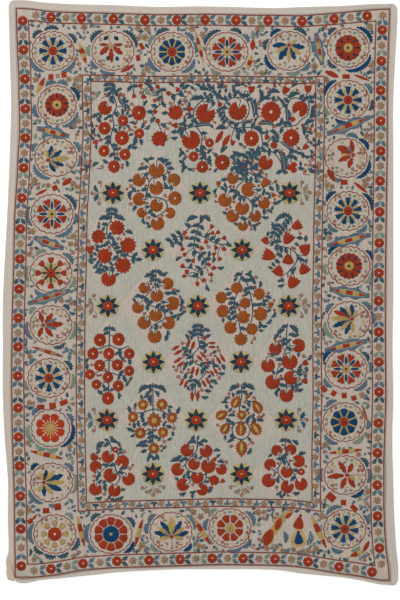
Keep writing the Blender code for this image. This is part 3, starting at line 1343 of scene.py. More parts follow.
BOUQUETS = (
    Bouquet("upper_left", 115, 125, R, MA,
            [[(-5, 44), (-5, 35.5), (-0.5, 27), (1.3, 18), (-2.3, 9.7), (-1.2, -0.3), (-3.7, -8.9),
             (-4.4, -17.4), (-0.6, -27.4), (-0.6, -38)]],
            [(-10, 17, 7.5, 45, P), (24, 12, 8), (8, 4.3, 6), (-10.4, -3.4, 7), (7, -13, 8),
             (24.4, -8.6, 5.5), (-11, -26, 6.3), (10, -29.6, 6.3), (-1, -41.7, 6.7),
             (-19.4, -17.4, 3, 0, TRI)],
            [(-0.5, 31, 10, -45), (6.5, 20, 16, -60), (-20.4, -6.7, 8, 260), (18.4, -16, 12, 250)]),
    Bouquet("upper_middle", 165, 108, B, MA,
            [[(-11.9, 25.4), (-5.9, 20.4), (-3.7, 14.7), (-2.3, 6.9), (-7.3, 1.1), (-13, -4.6), (-9.4, -11),
             (-5.9, -17.4)], [(-35, 25.4), (-31.6, 18.3), (-31.6, 11.9)], [(-11.9, 25.4), (-16.6, 21),
             (-21, 17), (-23.7, 9.7)], [(3.4, 14.7), (12, 13.3), (17, 18.3), (17.7, 22.6)]],
            [(-24.4, 22, 3, 90), (-31, 12, 3, -80), (-21, 11, 3, -60), (-7.3, 21, 3, 20),
             (3.4, 14.7, 3.2, -20), (12.7, 18.3, 3, 60), (-10, 7.6, 2.8, 200), (-9.7, -3.9, 3, 200),
             (-7.3, -13, 3.2, 250), (10.3, -4.6, 8, -35, C), (-5.4, -31, 8.5, 120, C),
             (10.3, -17.4, 3.5, 0, TRI), (25.3, -1, 3, 60, TRI)],
            []),
    Bouquet("upper_right", 250, 130, R, MA,
            [[(-37, 46), (-36.4, 40), (-47.3, 30), (-55.5, 21), (-56.8, 12), (-57.3, 6), (-52, 1),
             (-48.2, -6), (-48.6, -13.5), (-50.5, -21)], [(-36.4, 40), (-31, 27), (-25, 14), (-18.2, 2.5),
             (-6.4, 2.5), (2.7, 2), (10, -2.5), (12.3, -10.7), (11.8, -17), (2.7, -23.5), (-2.7, -29),
             (-3, -37)], [(28, -1.6), (21, -8), (16.4, -15.3), (21, -19.8)], [(56.4, 35.6), (59, 24.7),
             (57.3, 14.7), (51, 10.2), (45.5, 4.7), (30.5, 2.5)], [(-6.4, 31), (-5.5, 38.4)], [(-25, 14),
             (-26, 24), (-20, 31), (-12, 32.5), (-4, 30), (-0.8, 22), (-3, 13), (-10, 7), (-18, 7.5),
             (-25, 14)], [(-3, -32), (4.5, -23.5), (16.4, -20.7), (24.5, -23.5), (31, -33), (32, -42)],
             [(42.7, -23.5), (40.5, -31.6)], [(40, 12), (37, 22), (41, 31), (50, 31), (57, 24)]],
            [(-44.5, 16.5, 10.5, 50, P), (-12.3, 19, 10, 75, P), (21, 18, 11), (50, 21, 8.5, 240, P),
             (-59, -10, 10, 120, P), (-27.3, -9, 15, 60, D), (-40.5, -13, 5), (-17.3, -13, 3.5, 80, B),
             (1.4, -8.5, 8.5), (41, -8, 9.5), (-56.4, -26.6, 5.5), (-47.7, -37, 6.5), (-27.7, -32.5, 8.5),
             (15.5, -32.5, 8, 60, P), (42.3, -37.5, 6, 0, TRI), (1.5, 40.6, 4.5, 90, B),
             (35.5, 39.7, 5, 60, B), (58, 41, 5, 90, B), (-61, 21, 3, 0, BUD), (-30.3, 25.6, 3.5, 60, B),
             (42.7, 10.6, 3, 0, BUD), (16.8, -7, 3.5, 60, B), (24, -15.3, 4, 0, BUD), (55.5, -17, 4, 40, B)],
            [(-46, 40, 10, 180), (-29, 42, 9, 0), (-29, 34, 10, -50), (-54, 30, 13, 190),
             (1.8, 22, 20, -80), (-2, 7, 8, 10), (-12, 44, 8, 10), (10, 36.5, 10, 100), (23.6, 37, 14, 0),
             (13.6, 30, 12, 210), (35.5, 14, 18, 270), (17, 5, 16, -10), (44, 34, 14, 20),
             (61, 18.4, 12, 260), (-45.5, 4, 15, 0), (-28.6, 1, 12, 0), (-10.5, -6, 10, 80),
             (8, 0, 12, -40), (52.7, 0, 12, -80), (35.5, -17, 15, -45), (-44, -26, 10, 280),
             (-39, -30.7, 12, 280), (51.4, -25, 8, -70), (-11, -22.5, 14, -10), (-25.5, -20, 10, 40),
             (-11, -35, 14, 190), (31, -32.5, 24, -80), (-66, -2, 14, 250), (30, 8, 10, 250),
             (56, 8, 9, 60)]),
    Bouquet("orange_pomegranates", 156, 193, P, OR,
            [[(1.3, 35.4), (11.3, 25.4), (9, 18.3), (-4.4, 14.7), (-8.7, 2.6), (-9.4, -3), (0.6, -4.6),
             (9, -7.4), (11.3, -14.6), (6.3, -20.3), (-1.6, -24.6)]],
            [(0.6, 22.6, 8.5, 90), (-17, 13, 7, 60), (18, 13, 7, 240), (0.3, 5, 7.5, 110),
             (19, -5.3, 7.5, 90, R), (-16.6, -6.3, 7, 0), (0.6, -12.4, 7, 60), (-14, -19.6, 5.5, 45),
             (14, -20, 6, 180), (1.6, -30.3, 7.5, 110)],
            [(4.9, 32.6, 8, -20), (-14.4, 23.3, 8, 190), (-25, -1.7, 9, 250)]),
    Bouquet("orange_hearts", 245, 197, P, OR,
            [[(1.3, 29.7), (-3, 22.6), (-1.6, 17), (-8, 9.7), (-9.4, 2.6), (0, 0.4), (5.6, -4.6),
             (7.7, -11.7), (5, -19), (0.6, -23), (-1.6, -27.4)]],
            [(-12.3, 19, 6.5, 70), (3.7, 7.6, 8, 0), (20.6, 14.4, 6, 60, B), (-20, -3, 7.5, 60),
             (-2.7, -11, 7.5, 80), (19, -6, 6.5, 120), (-12.3, -19, 7, 60), (10.3, -19, 6.5, 110),
             (-2.3, -29, 5.5, 90), (-26.6, 13.3, 3.5, 90, B), (30.6, 15.4, 2, 0, TRI), (28.4, 2, 3, 300, B)],
            [(-6.6, 32.6, 11, 190), (8.4, 28.3, 9, -30)]),
    Bouquet("red_carnations", 108, 250, C, MA,
            [[(3.9, 44), (3.4, 31), (-0.6, 24), (-1, 15.4), (1.3, 8.3), (6.3, 1), (10, -6), (7.7, -13),
             (2, -17.4), (-4.4, -22.4)], [(10, -1.7), (19, -5.3), (27, -8), (28.4, -11)]],
            [(9, 22, 8, 60), (-9.4, 13.3, 7.5, 120), (20, 4.7, 8.5, -20), (-3, -6, 8, 200),
             (15, -15.3, 8.5, -60), (0.6, -29, 8, 80, P), (-18, 0.4, 5, 100, TRI)],
            [(-4.4, 31, 10, 195), (11.3, 31, 12, -15), (20.6, 17, 9, 170), (16.3, -4, 9, 190)]),
    Bouquet("small_tulips", 199, 250, B, MA,
            [[(1.3, 28.3), (-3, 15.4), (-5, 7), (-5, 1), (1.3, -4.6), (7, -11), (5.6, -17.4), (0, -20.3),
             (-1.6, -27.4)], [(0, 27), (-9.4, 22.5), (-16.6, 15.4), (-24, 12), (-29.4, 7)], [(-3, 16),
             (5, 13), (15, 7.6), (26, 5.4), (29, 8)]],
            [(-14.4, 17, 2.9, 60), (-12.3, 12, 2.7, 20), (-16.6, 1, 2.9, 60), (-14.4, -4.6, 2.7, 80),
             (-16.6, -16, 2.9, 40), (-12.3, -21.7, 2.9, 80), (-6, -11, 2.7, 120), (12.7, 23.3, 2.9, 60),
             (13.4, 17, 2.7, 20), (19, 17.6, 2.7, 30), (7, 8.3, 2.9, 40), (25, 12, 2.9, 20),
             (2.7, 2, 2.9, 160), (17, 2, 2.7, 60), (15, -4, 2.7, 200), (25, 1, 2.9, 30),
             (20.6, -9, 2.7, 60), (15, -18, 2.9, 60), (12, -24.6, 2.9, 20), (-1.6, -34, 2.9, 100),
             (5, -30.3, 2.9, 60), (10, -14.6, 2.7, 60), (-15, -26, 2.7, 30)],
            [(-6.6, 30.4, 13, 205), (7, 31, 11, -35), (1.3, 31, 9, 270)]),
    Bouquet("red_bells", 288, 250, B, MA,
            [[(1.3, 37), (-5, 27), (-11.6, 17), (-13.7, 9.7), (-8, 4), (0.6, 2), (7.7, -3), (9, -10.3),
             (5, -16.7), (0, -22.4), (0, -27.4)], [(-8, 4), (-10, 0), (-11, -5)], [(7.7, -3), (12, -8),
             (13, -13)], [(-5, 27), (-2, 23), (-1, 20)]],
            [(9, 24.3, 6.5, 30), (0, 11.4, 7.5, 60), (-22.6, 9.3, 5, 120), (17, 0.4, 7.5, 100),
             (-19.4, -5.3, 8, 160), (0.3, -10, 7, 150), (-9.7, -21.4, 7, 130), (16, -19.6, 7, 50),
             (5, -32.4, 8, 60)],
            [(-7.3, 32, 9, 190)]),
    Bouquet("orange_pods", 153, 306, P, OR,
            [[(2.7, 38), (2.7, 25.4), (-2.3, 15.4), (-8, 8.3), (-6.6, 2.6), (3.4, -1.7), (10.6, -6),
             (12, -11.7), (6.3, -16), (0.6, -19), (-3.7, -24.6)]],
            [(-8.7, 18, 6, 60), (14.6, 22.3, 6.5, 200), (4, 10.4, 7, 100), (-15, -1.4, 6.5, 60),
             (19.4, 2.6, 7.5, 170), (2.7, -9, 7, 90), (-9, -16.7, 7, 60), (15.6, -17, 7, 150),
             (1.7, -30.3, 7.5, 90)],
            [(-4.4, 29.7, 9, 200), (9, 30.4, 8, -20), (-15, 9, 8, 190), (20, 12, 9, 170), (27.7, 4, 9, 270),
             (20.6, -9.6, 8, 20)]),
    Bouquet("orange_carnations", 240, 306, C, OR,
            [[(2.7, 35.4), (-0.9, 22.6), (-3.7, 11), (-6, 2.6), (-4.4, -6), (-0.9, -17.4), (0.6, -27.4)],
             [(7.7, 21), (10, 12.6), (12, 2.6), (12.7, -6), (11.3, -16)], [(2, 30), (7.7, 21)]],
            [(-3.3, 17.6, 6.5, 90), (-18.4, 8.3, 6.5, 170), (19, 12, 6.5, 20), (5, 2.6, 6, 90),
             (-17, -5.3, 7, 170), (3.7, -11, 7, 200), (20.3, -8, 7.5, -30), (-9.4, -21.4, 7, 220),
             (11.7, -23, 6.5, 300), (0.9, -33, 7, 270), (30.6, 1, 4, 80, B)],
            [(-1.6, 30.4, 9, 200), (8.4, 30.4, 8, -20), (12.7, 24, 8, -50), (19, 2.6, 8, 190),
             (19, -19, 8, 80)]),
    Bouquet("red_rounds", 108, 362, R, MA,
            [[(1.7, 37), (1.3, 19.7), (0.6, -36)], [(1.3, 17), (12, 13), (20, 16)], [(1.3, 17), (-10, 13),
             (-15, 15)], [(0.8, -10), (10, -13), (17, -14)]],
            [(-8, 22, 7), (10.6, 22.6, 7), (-15, 8.3, 6.5), (0.9, 8.3, 6.5), (21.3, 8.3, 6),
             (-8.4, -3.4, 6.3), (9.4, -3, 6.3), (-18, -12.4, 5.5), (21.3, -9, 5.7), (0, -15.3, 6),
             (-11.6, -22.4, 5.5), (10.3, -24, 6.2), (0, -36.3, 7)],
            []),
    Bouquet("paired_petals", 198, 362, D, MA,
            [[(0, 39.7), (0, 25.4), (1.3, 15.4), (-5, 7), (-3.7, -0.3), (3.4, -4.6), (7.7, -10.3),
             (2, -17.4), (-2.3, -23), (-3, -33)]],
            [(-7.3, 17.6, 10, 70), (14, 17, 8, 0), (-21, 12, 10, 30), (-18.7, -0.3, 10, 35),
             (3.4, 5.4, 9, -45), (22.7, 2.6, 9, -60), (-3, -9, 9, 75), (16, -10.3, 8, -60),
             (-14, -21, 9, 65), (8, -20.3, 9, -60), (-3, -34, 11, 90), (6.3, 24, 2.5, 0, TRI),
             (9, -1, 2, 0, TRI)],
            [(8.4, 31, 8, -15), (-11, -3, 8, 250)]),
    Bouquet("red_pomegranates", 287, 360, P, MA,
            [[(0.6, 37), (-0.6, 25.4), (0, 15.4), (-3, 5.4), (-4.4, -3), (3.4, -9), (10.6, -13),
             (12, -20.3), (5, -24.6), (0, -27.4)]],
            [(-11.6, 11.4, 7, 90), (11.3, 14.4, 7.5, 180), (-19, -5.3, 7.5, 100), (2.7, -1.7, 8.5, 90),
             (18, -3, 4, 30, B), (-14.4, -22, 8, 60), (3.7, -17.7, 7.5, 30), (17.7, -21, 4, 0, B),
             (-0.6, -35.3, 7.5, 90)],
            [(6.3, 29.7, 14, -50), (-6, 27.6, 10, 220), (5, 24, 9, -20), (-12.3, 4.7, 9, 190),
             (12.7, -29, 8, 180), (-9.4, -33, 8, 270)]),
    Bouquet("sunflowers", 153, 418, S, OR,
            [[(0, 35.4), (0, 4), (0, -27.4)], [(0, 9), (-9, 6), (-15, 5), (-24, 6)], [(0, 9), (9, 7),
             (15, 4), (26, 5)]],
            [(-10, 13.3, 6), (9, 13.7, 6.5), (-20, 1, 6), (1.3, -2.4, 8), (19, 0.4, 6), (-12.6, -15, 6.5),
             (10, -14.3, 6), (0.9, -30.3, 6.3)],
            [(-8.7, 28.3, 14, 215), (7.7, 28.3, 13, -35), (-4, 24, 8, 240), (3.5, 24, 8, -60),
             (-1.6, 19, 10, 270), (-10, -23, 9, 195), (-4.4, -37.4, 8, 250)]),
    Bouquet("thistles", 241, 420, H, OR,
            [[(0.6, 35.4), (0.6, 22.6), (-1.6, 11), (0, 0)], [(4.5, 20), (12, 18), (17, 17)], [(0, -1.5),
             (-6.5, -4), (-9, -10.5), (-6, -17), (0, -19.5), (6, -17), (9, -10.5), (6.5, -4), (0, -1.5)],
             [(0, -19.5), (0.6, -25)]],
            [(-5.4, 17.3, 7, 60), (16.7, 12.3, 7.5, 120), (-20, 4.7, 7, 30), (0.6, 5, 5.5, 0, S),
             (-16, -9, 7, 60), (0, -9.6, 8, 90), (15, -9, 8, 120), (0.6, -27.4, 8.5, 270),
             (6.3, 23.3, 3, 60, TRI)],
            [(-6.6, 31, 12, 205), (8.4, 32, 12, -25), (12, -0.3, 8, 90), (19, -1, 8, -10),
             (7.7, -31, 8, 60)]),
    Bouquet("lower_left", 108, 475, P, MA,
            [[(0.6, 35.4), (3.4, 28.3), (10.6, 19.7), (7, 11), (9, 2.6), (12, -3), (7.7, -10.3)]],
            [(-13.7, 18.3, 4.5, 60), (0, 18.3, 7, 60), (14.6, 13.3, 7, 250), (7.4, 25.4, 3.5, 0, R),
             (-12.3, 8.3, 6.5, 300), (2.4, 0, 7.5, 45), (20.6, -4, 7, 120), (-12.6, -14, 7, 70),
             (6.6, -15.3, 7, 80)],
            [(-7.3, 29, 12, 230), (6.3, 32.6, 8, -10), (15.6, 6, 9, 10), (-9.4, -3, 8, 60),
             (-1.6, -12.4, 9, 270), (-9.4, -22.4, 8, 190), (12, -22.4, 8, 200)]),
    Bouquet("lower_middle", 197, 475, P, MA,
            [[(0.3, 35.4), (-0.6, 24), (-7.3, 17), (-11.6, 9.7), (-7.3, 4), (3.4, 1), (9, -0.3), (7.7, -6),
             (2, -9.6)]],
            [(-10, 24.7, 7, 40), (9, 24, 7, 120), (-3, 11, 6.5, 60), (11.3, 9, 8, 90), (-19.4, 5.7, 7, 30),
             (24.4, 5.7, 6, 130), (0.3, -2.4, 7, 90), (17, -5.3, 5.5, 60, C), (25.6, -6, 3, 40, B),
             (-14, -9.6, 7, 20), (5.3, -14.6, 6.5, 160), (17.7, 16, 2.5, 0, TRI)],
            [(-6, 32, 8, 190), (7, 33.3, 8, -5), (-21.6, 14, 10, 190), (24, 12.6, 8, -10),
             (-14.4, -18, 8, 190), (12, -14.6, 8, 80)]),
    Bouquet("lower_right", 285, 475, P, MA,
            [[(1.3, 38), (-0.1, 28), (0.6, 20), (-7.3, 5.4), (-3.7, -3), (3.4, -9)], [(0.6, 20), (2, 14),
             (9, 1), (12, -6)]],
            [(-8.3, 24.7, 6, 300), (6, 25.4, 6, 240), (-15, 10.4, 6.5, 300), (13.4, 14, 7, 180),
             (1.7, 3.3, 6.5, 80), (-16.3, -5.3, 7.5, 40), (16.3, 3.3, 4, 0, R), (2.3, -11.7, 7, 60),
             (16, -9, 7, 110)],
            [(10, 32, 8, -45), (0.6, 17, 12, 250), (17, 20.4, 9, 20), (-6, -4.6, 8, 270),
             (11.3, -17.4, 8, 180)]),
)


@dataclass
class StarFlowers:
    """One row of eight-armed stars, which stand where the lozenges' corners meet."""

    down: float
    across: Sequence[float]
    arms: int = 8
    arm: Rows = ((11.6, 0.0), (7.2, 2.3), (3.6, 1.9), (3.6, -1.9), (7.2, -2.3))
    rim: float = 11.4
    heart: float = 5.4
    rim_depth: float = 0.1
    heart_form: tuple = (14, 0.1, 0.86)
    eye: float = 1.1
    eye_form: tuple = (6, 0.1)
    eye_lift: tuple = (0.0, 1.0)

    def build(self) -> None:
        """Work the row."""
        work = Needlework(f"stars_{self.down}")
        for across in self.across:
            at = on_cloth((across, self.down))
            work.motif(lobed(self.rim, 2 * self.arms, self.rim_depth), at, 0, Dye.STRAW)
            for number in range(self.arms):
                turn = 90 + number * 360.0 / self.arms
                work.motif(np.array(self.arm), at, turn, Dye.INDIGO, Layer.DETAIL, 0.0)
            work.motif(toothed(self.heart, *self.heart_form), at, 0, Dye.MADDER, Layer.TOP)
            eye = toothed(self.eye, *self.eye_form)
            work.motif(eye, at + self.eye_lift, 0, Dye.PALE, Layer.TOP)
        work.finish()


class Rosette(Enum):
    """The kinds of rosette in the medallions, each worked by the method of its name."""

    FANS = "fans"
    BLOCKS = "blocks"
    FANS_AND_LEAVES = "fans_and_leaves"
    WHEEL = "wheel"
    TULIPS = "tulips"
    LOBES = "lobes"
    PETALS = "petals"
    GOLD_PETALS = "gold_petals"
    RING_OF_PETALS = "ring_of_petals"
    PALMETTE = "palmette"


@dataclass
class Medallion:
    """One round medallion of the border: a scalloped ring, a rosette or palmette, and arcs of leaves.

    A palmette's hub is (x, y) and its leaves are rows of (turn, length, width, dye), and the start
    where it isn't at the hub. arcs are rows of (from, to, dye), in degrees round the ring. Widths of
    chain stitch are in millimetres. The halo's rows are how far in it is, and degrees to a leaf.
    """

    name: str
    across: float
    down: float
    kind: Rosette
    arcs: Rows = ()
    count: int = 8
    turn: float = 0.0
    hub: tuple = (0.0, 0.0)
    leaves: Rows = ()
    heart: Dye = Dye.MADDER
    wide: float = 20.8
    tall: float = 19.2
    scallop_count: int = 19
    scallop_depth: float = 1.2
    ring_inset: float = 0.7
    ring_width: float = 4.4
    ring_pitch: float = 4.0
    stalk_width: float = 2.8
    arc_gap: float = 2.0
    arc_depth: float = 5.2
    arc_flat: tuple = (2.4, 2.6)
    halo_rows: Rows = ((3.1, 17), (6.6, 23))
    halo_room: float = 1.55
    halo_curl: float = 1.7
    halo_lead: float = 15.0
    halo_leans: tuple = (120, 60)
    halo_leaf: tuple = (4.2, 2.3)

    def build(self) -> None:
        """Work the medallion."""
        self.at = on_cloth((self.across, self.down))
        self.work = Sprays("medallion_" + self.name, middle=self.at)
        self.room = Room(np.array([(0.0, 0.0, self.wide)]))
        self.ring()
        getattr(self, self.kind.value)()
        self.halo()
        self.work.finish()

    def ring(self) -> None:
        """Work the scalloped ring and the arcs of leaves outside it."""
        degrees = np.arange(self.scallop_count * 6) * 60.0 / self.scallop_count
        bump = self.scallop_depth * scallops(degrees, self.scallop_count, 0.7)
        unit = polar(1.0, degrees)
        size = np.array([self.wide, self.tall]) - self.ring_inset
        outline = unit * size + unit * bump[:, None]
        self.work.chain(placed(looped(outline), self.at), Dye.LINE, self.ring_width, Layer.STEM,
                        self.ring_pitch)
        for start, finish, dye in self.arcs:
            self.arc(self.work, start, finish, dye)

    def arc(self, work: Sprays, start: float, finish: float, dye: Dye) -> None:
        """Work one leafy arc outside the ring.

        Args:
            work: The needlework.
            start: The bearing of one end.
            finish: The bearing of the other end.
            dye: Its colour.
        """
        flat = (self.tall + self.arc_flat[1]) / (self.wide + self.arc_flat[0])
        outline = crescent(self.wide + self.arc_gap, start, finish, self.arc_depth) * (1.0, flat)
        work.motif(outline, on_cloth((self.across, self.down)), 0, dye, grain=(start + finish) / 2 + 90,
                   edge=Dye.INK if dye in (Dye.TEAL, Dye.BLUE) else None)

    def halo(self) -> None:
        """Work small pale leaves and a few tendrils in what is left of the round."""
        for inset, step in self.halo_rows:
            reach = np.array([self.wide - inset, self.tall - inset])
            for number, bearing in enumerate(np.arange(0, 360, step) + self.turn):
                place = polar(1.0, bearing) * reach
                if self.room.root(place, self.halo_room) is None:
                    continue
                if number % 6 == 1:
                    root = polar(1.0, bearing + self.halo_lead) * (reach + inset)
                    self.work.tendril(place, self.halo_curl, root)
                else:
                    turn = bearing - self.turn + self.halo_leans[number % 2]
                    dye = (Dye.STRAW, Dye.MOSS, Dye.WALNUT)[number % 3]
                    self.work.motif(petal(*self.halo_leaf), self.work.spot(place), turn, dye)

    def around(self, outline: Array, dye: Dye, layer: Layer = Layer.MOTIF, offset: float = 0.0,
               edge: Dye | None = None) -> None:
        """Repeat one part of the rosette round the middle.

        Args:
            outline: The part, along +X.
            dye: Its colour.
            layer: How high it lies.
            offset: 0 puts it at the rosette's own bearings, 0.5 between them.
            edge: The colour of its contour, if it has one.
        """
        for step in range(self.count):
            turn = 90 + self.turn + (step + offset) * 360.0 / self.count
            self.work.motif(outline, self.at, turn, dye, layer, 0.0, edge)

    def centre(self, radius: float, dye: Dye, dot: Dye, dot_radius: float = 1.2) -> None:
        """Work the rosette's centre and the dot on it."""
        self.work.dot((0, 0), radius, 12, dye)
        self.work.dot((0, 0), dot_radius, 7, dot, Layer.TOP, 0.0)

    def fills(self, reach: float) -> None:
        """Take the room of a round rosette."""
        self.room = Room(np.array([(0.0, 0.0, reach)]))

    def fans(self) -> None:
        """Work blue fans with toothed ends, yellow rays between them, and a red centre."""
        self.around(wedge(5.0, 11.4, 0.5, 1.15), Dye.WELD, offset=0.5)
        self.around(wedge(5.2, 14.4, 0.9, 29.16 / self.count, 3), Dye.BLUE, edge=Dye.INDIGO)
        self.centre(4.9, Dye.MADDER, Dye.INDIGO)
        self.fills(14.4)

    def blocks(self) -> None:
        """Work broad blue blocks with yellow spokes between them, and a red centre."""
        far = 11.3 * math.sin(math.pi / self.count)
        self.around(wedge(5.0, 13.8, 1.7, far), Dye.BLUE, edge=Dye.INDIGO)
        self.around(wedge(4.6, 13.4, 0.55, 0.75), Dye.WELD, Layer.DETAIL, 0.5)
        self.centre(4.9, Dye.MADDER, Dye.INDIGO)
        self.fills(14.0)

    def fans_and_leaves(self) -> None:
        """Work red toothed fans outside, blue leaves between them, and a yellow centre."""
        self.around(wedge(6.4, 15.8, 1.0, 4.7, 4), Dye.MADDER, offset=0.5, edge=Dye.RUST)
        self.around(lens(3.6, 14.0, 2.3), Dye.PALE)
        self.around(lens(4.2, 13.2, 1.6), Dye.BLUE, Layer.DETAIL)
        self.centre(4.5, Dye.WELD, Dye.INDIGO, 1.4)
        self.fills(15.8)

    def wheel(self) -> None:
        """Work a red wheel with dark spokes and a yellow centre."""
        rim = 0.64 * self.wide
        self.work.motif(lobed(rim, 2 * self.count, 0.08), self.at, 0, Dye.MADDER, edge=Dye.RUST)
        self.around(lens(6.4, rim - 0.6, 0.95), Dye.INDIGO, Layer.DETAIL)
        self.centre(4.8, Dye.WELD, Dye.BOTTLE, 1.5)
        self.fills(rim)

    def tulips(self) -> None:
        """Work red tulips on dark stems, yellow leaves between them, and a red centre."""
        self.around(wedge(4.8, 10.6, 0.8, 1.9), Dye.WELD, offset=0.5)
        self.around(wedge(4.2, 9.8, 0.8, 1.0), Dye.BOTTLE)
        self.around(bell(3.5) + (12.8, 0.0), Dye.MADDER, Layer.DETAIL)
        self.centre(4.8, Dye.MADDER, Dye.INDIGO)
        self.fills(15.4)

    def lobes(self) -> None:
        """Work a scarlet flower with light slits and a yellow star."""
        turn = 90 + self.turn + 180.0 / self.count
        self.work.motif(lobed(15.0, self.count, 0.2), self.at, turn, Dye.SCARLET, edge=Dye.RUST)
        self.around(lens(4.0, 12.0, 0.4), Dye.PALE, Layer.DETAIL, 0.5)
        self.around(lens(3.0, 9.2, 0.9), Dye.WELD, Layer.DETAIL)
        self.centre(4.6, Dye.WELD, Dye.STRAW, 1.0)
        self.fills(15.0)

    def petals(self) -> None:
        """Work broad red petals with light gaps round a yellow centre."""
        self.around(wedge(5.4, 13.8, 1.591, 4.3), Dye.MADDER, edge=Dye.RUST)
        self.centre(4.8, Dye.WELD, Dye.WALNUT, 1.3)
        self.fills(13.8)

    def gold_petals(self) -> None:
        """Work yellow petals with light gaps round a large red centre."""
        self.around(wedge(7.8, 13.8, 1.258, 3.4), Dye.WELD, edge=Dye.RUST)
        self.centre(7.2, Dye.MADDER, Dye.PALE, 1.3)
        self.fills(13.8)

    def ring_of_petals(self) -> None:
        """Work a broad ring of red petals round a large blue centre, with no room left."""
        self.around(wedge(8.8, 17.2, 2.3, 4.7), Dye.MADDER)
        self.work.motif(toothed(8.6, 16, 0.06), self.at, 0, Dye.BLUE, edge=Dye.INDIGO)
        self.work.dot((0, 0), 1.6, 7, Dye.WELD)

    def palmette(self) -> None:
        """Work leaves that spread from a hub near the ring."""
        hub = np.array(self.hub, float)
        tip = hub / max(np.hypot(*hub), TINY) * (self.wide - 1.0)
        self.work.chain(self.work.spot([hub, tip]), Dye.LINE, self.stalk_width, Layer.MOTIF)
        rows = [(*hub, 2.4)]
        for turn, length, wide, dye, *start in self.leaves:
            first = start[0] if start else 1.7
            outline = petal(length - 0.7, 1.15 * wide, 3 if length > 11 else 0)
            edge = {Dye.BLUE: Dye.INDIGO, Dye.MADDER: Dye.RUST}.get(dye)
            self.work.motif(outline + (length / 2 + first, 0.0), self.work.spot(hub), turn, dye,
                            grain=0.0, edge=edge)
            for far in np.arange(first + 1, first + length, 2.2):
                rows.append((*(hub + polar(far, turn)), 0.5 * wide))
        self.work.motif(toothed(2.1, 8, 0.15), self.work.spot(hub), 0, self.heart, Layer.DETAIL)
        self.room = Room(np.array(rows))


K = Rosette

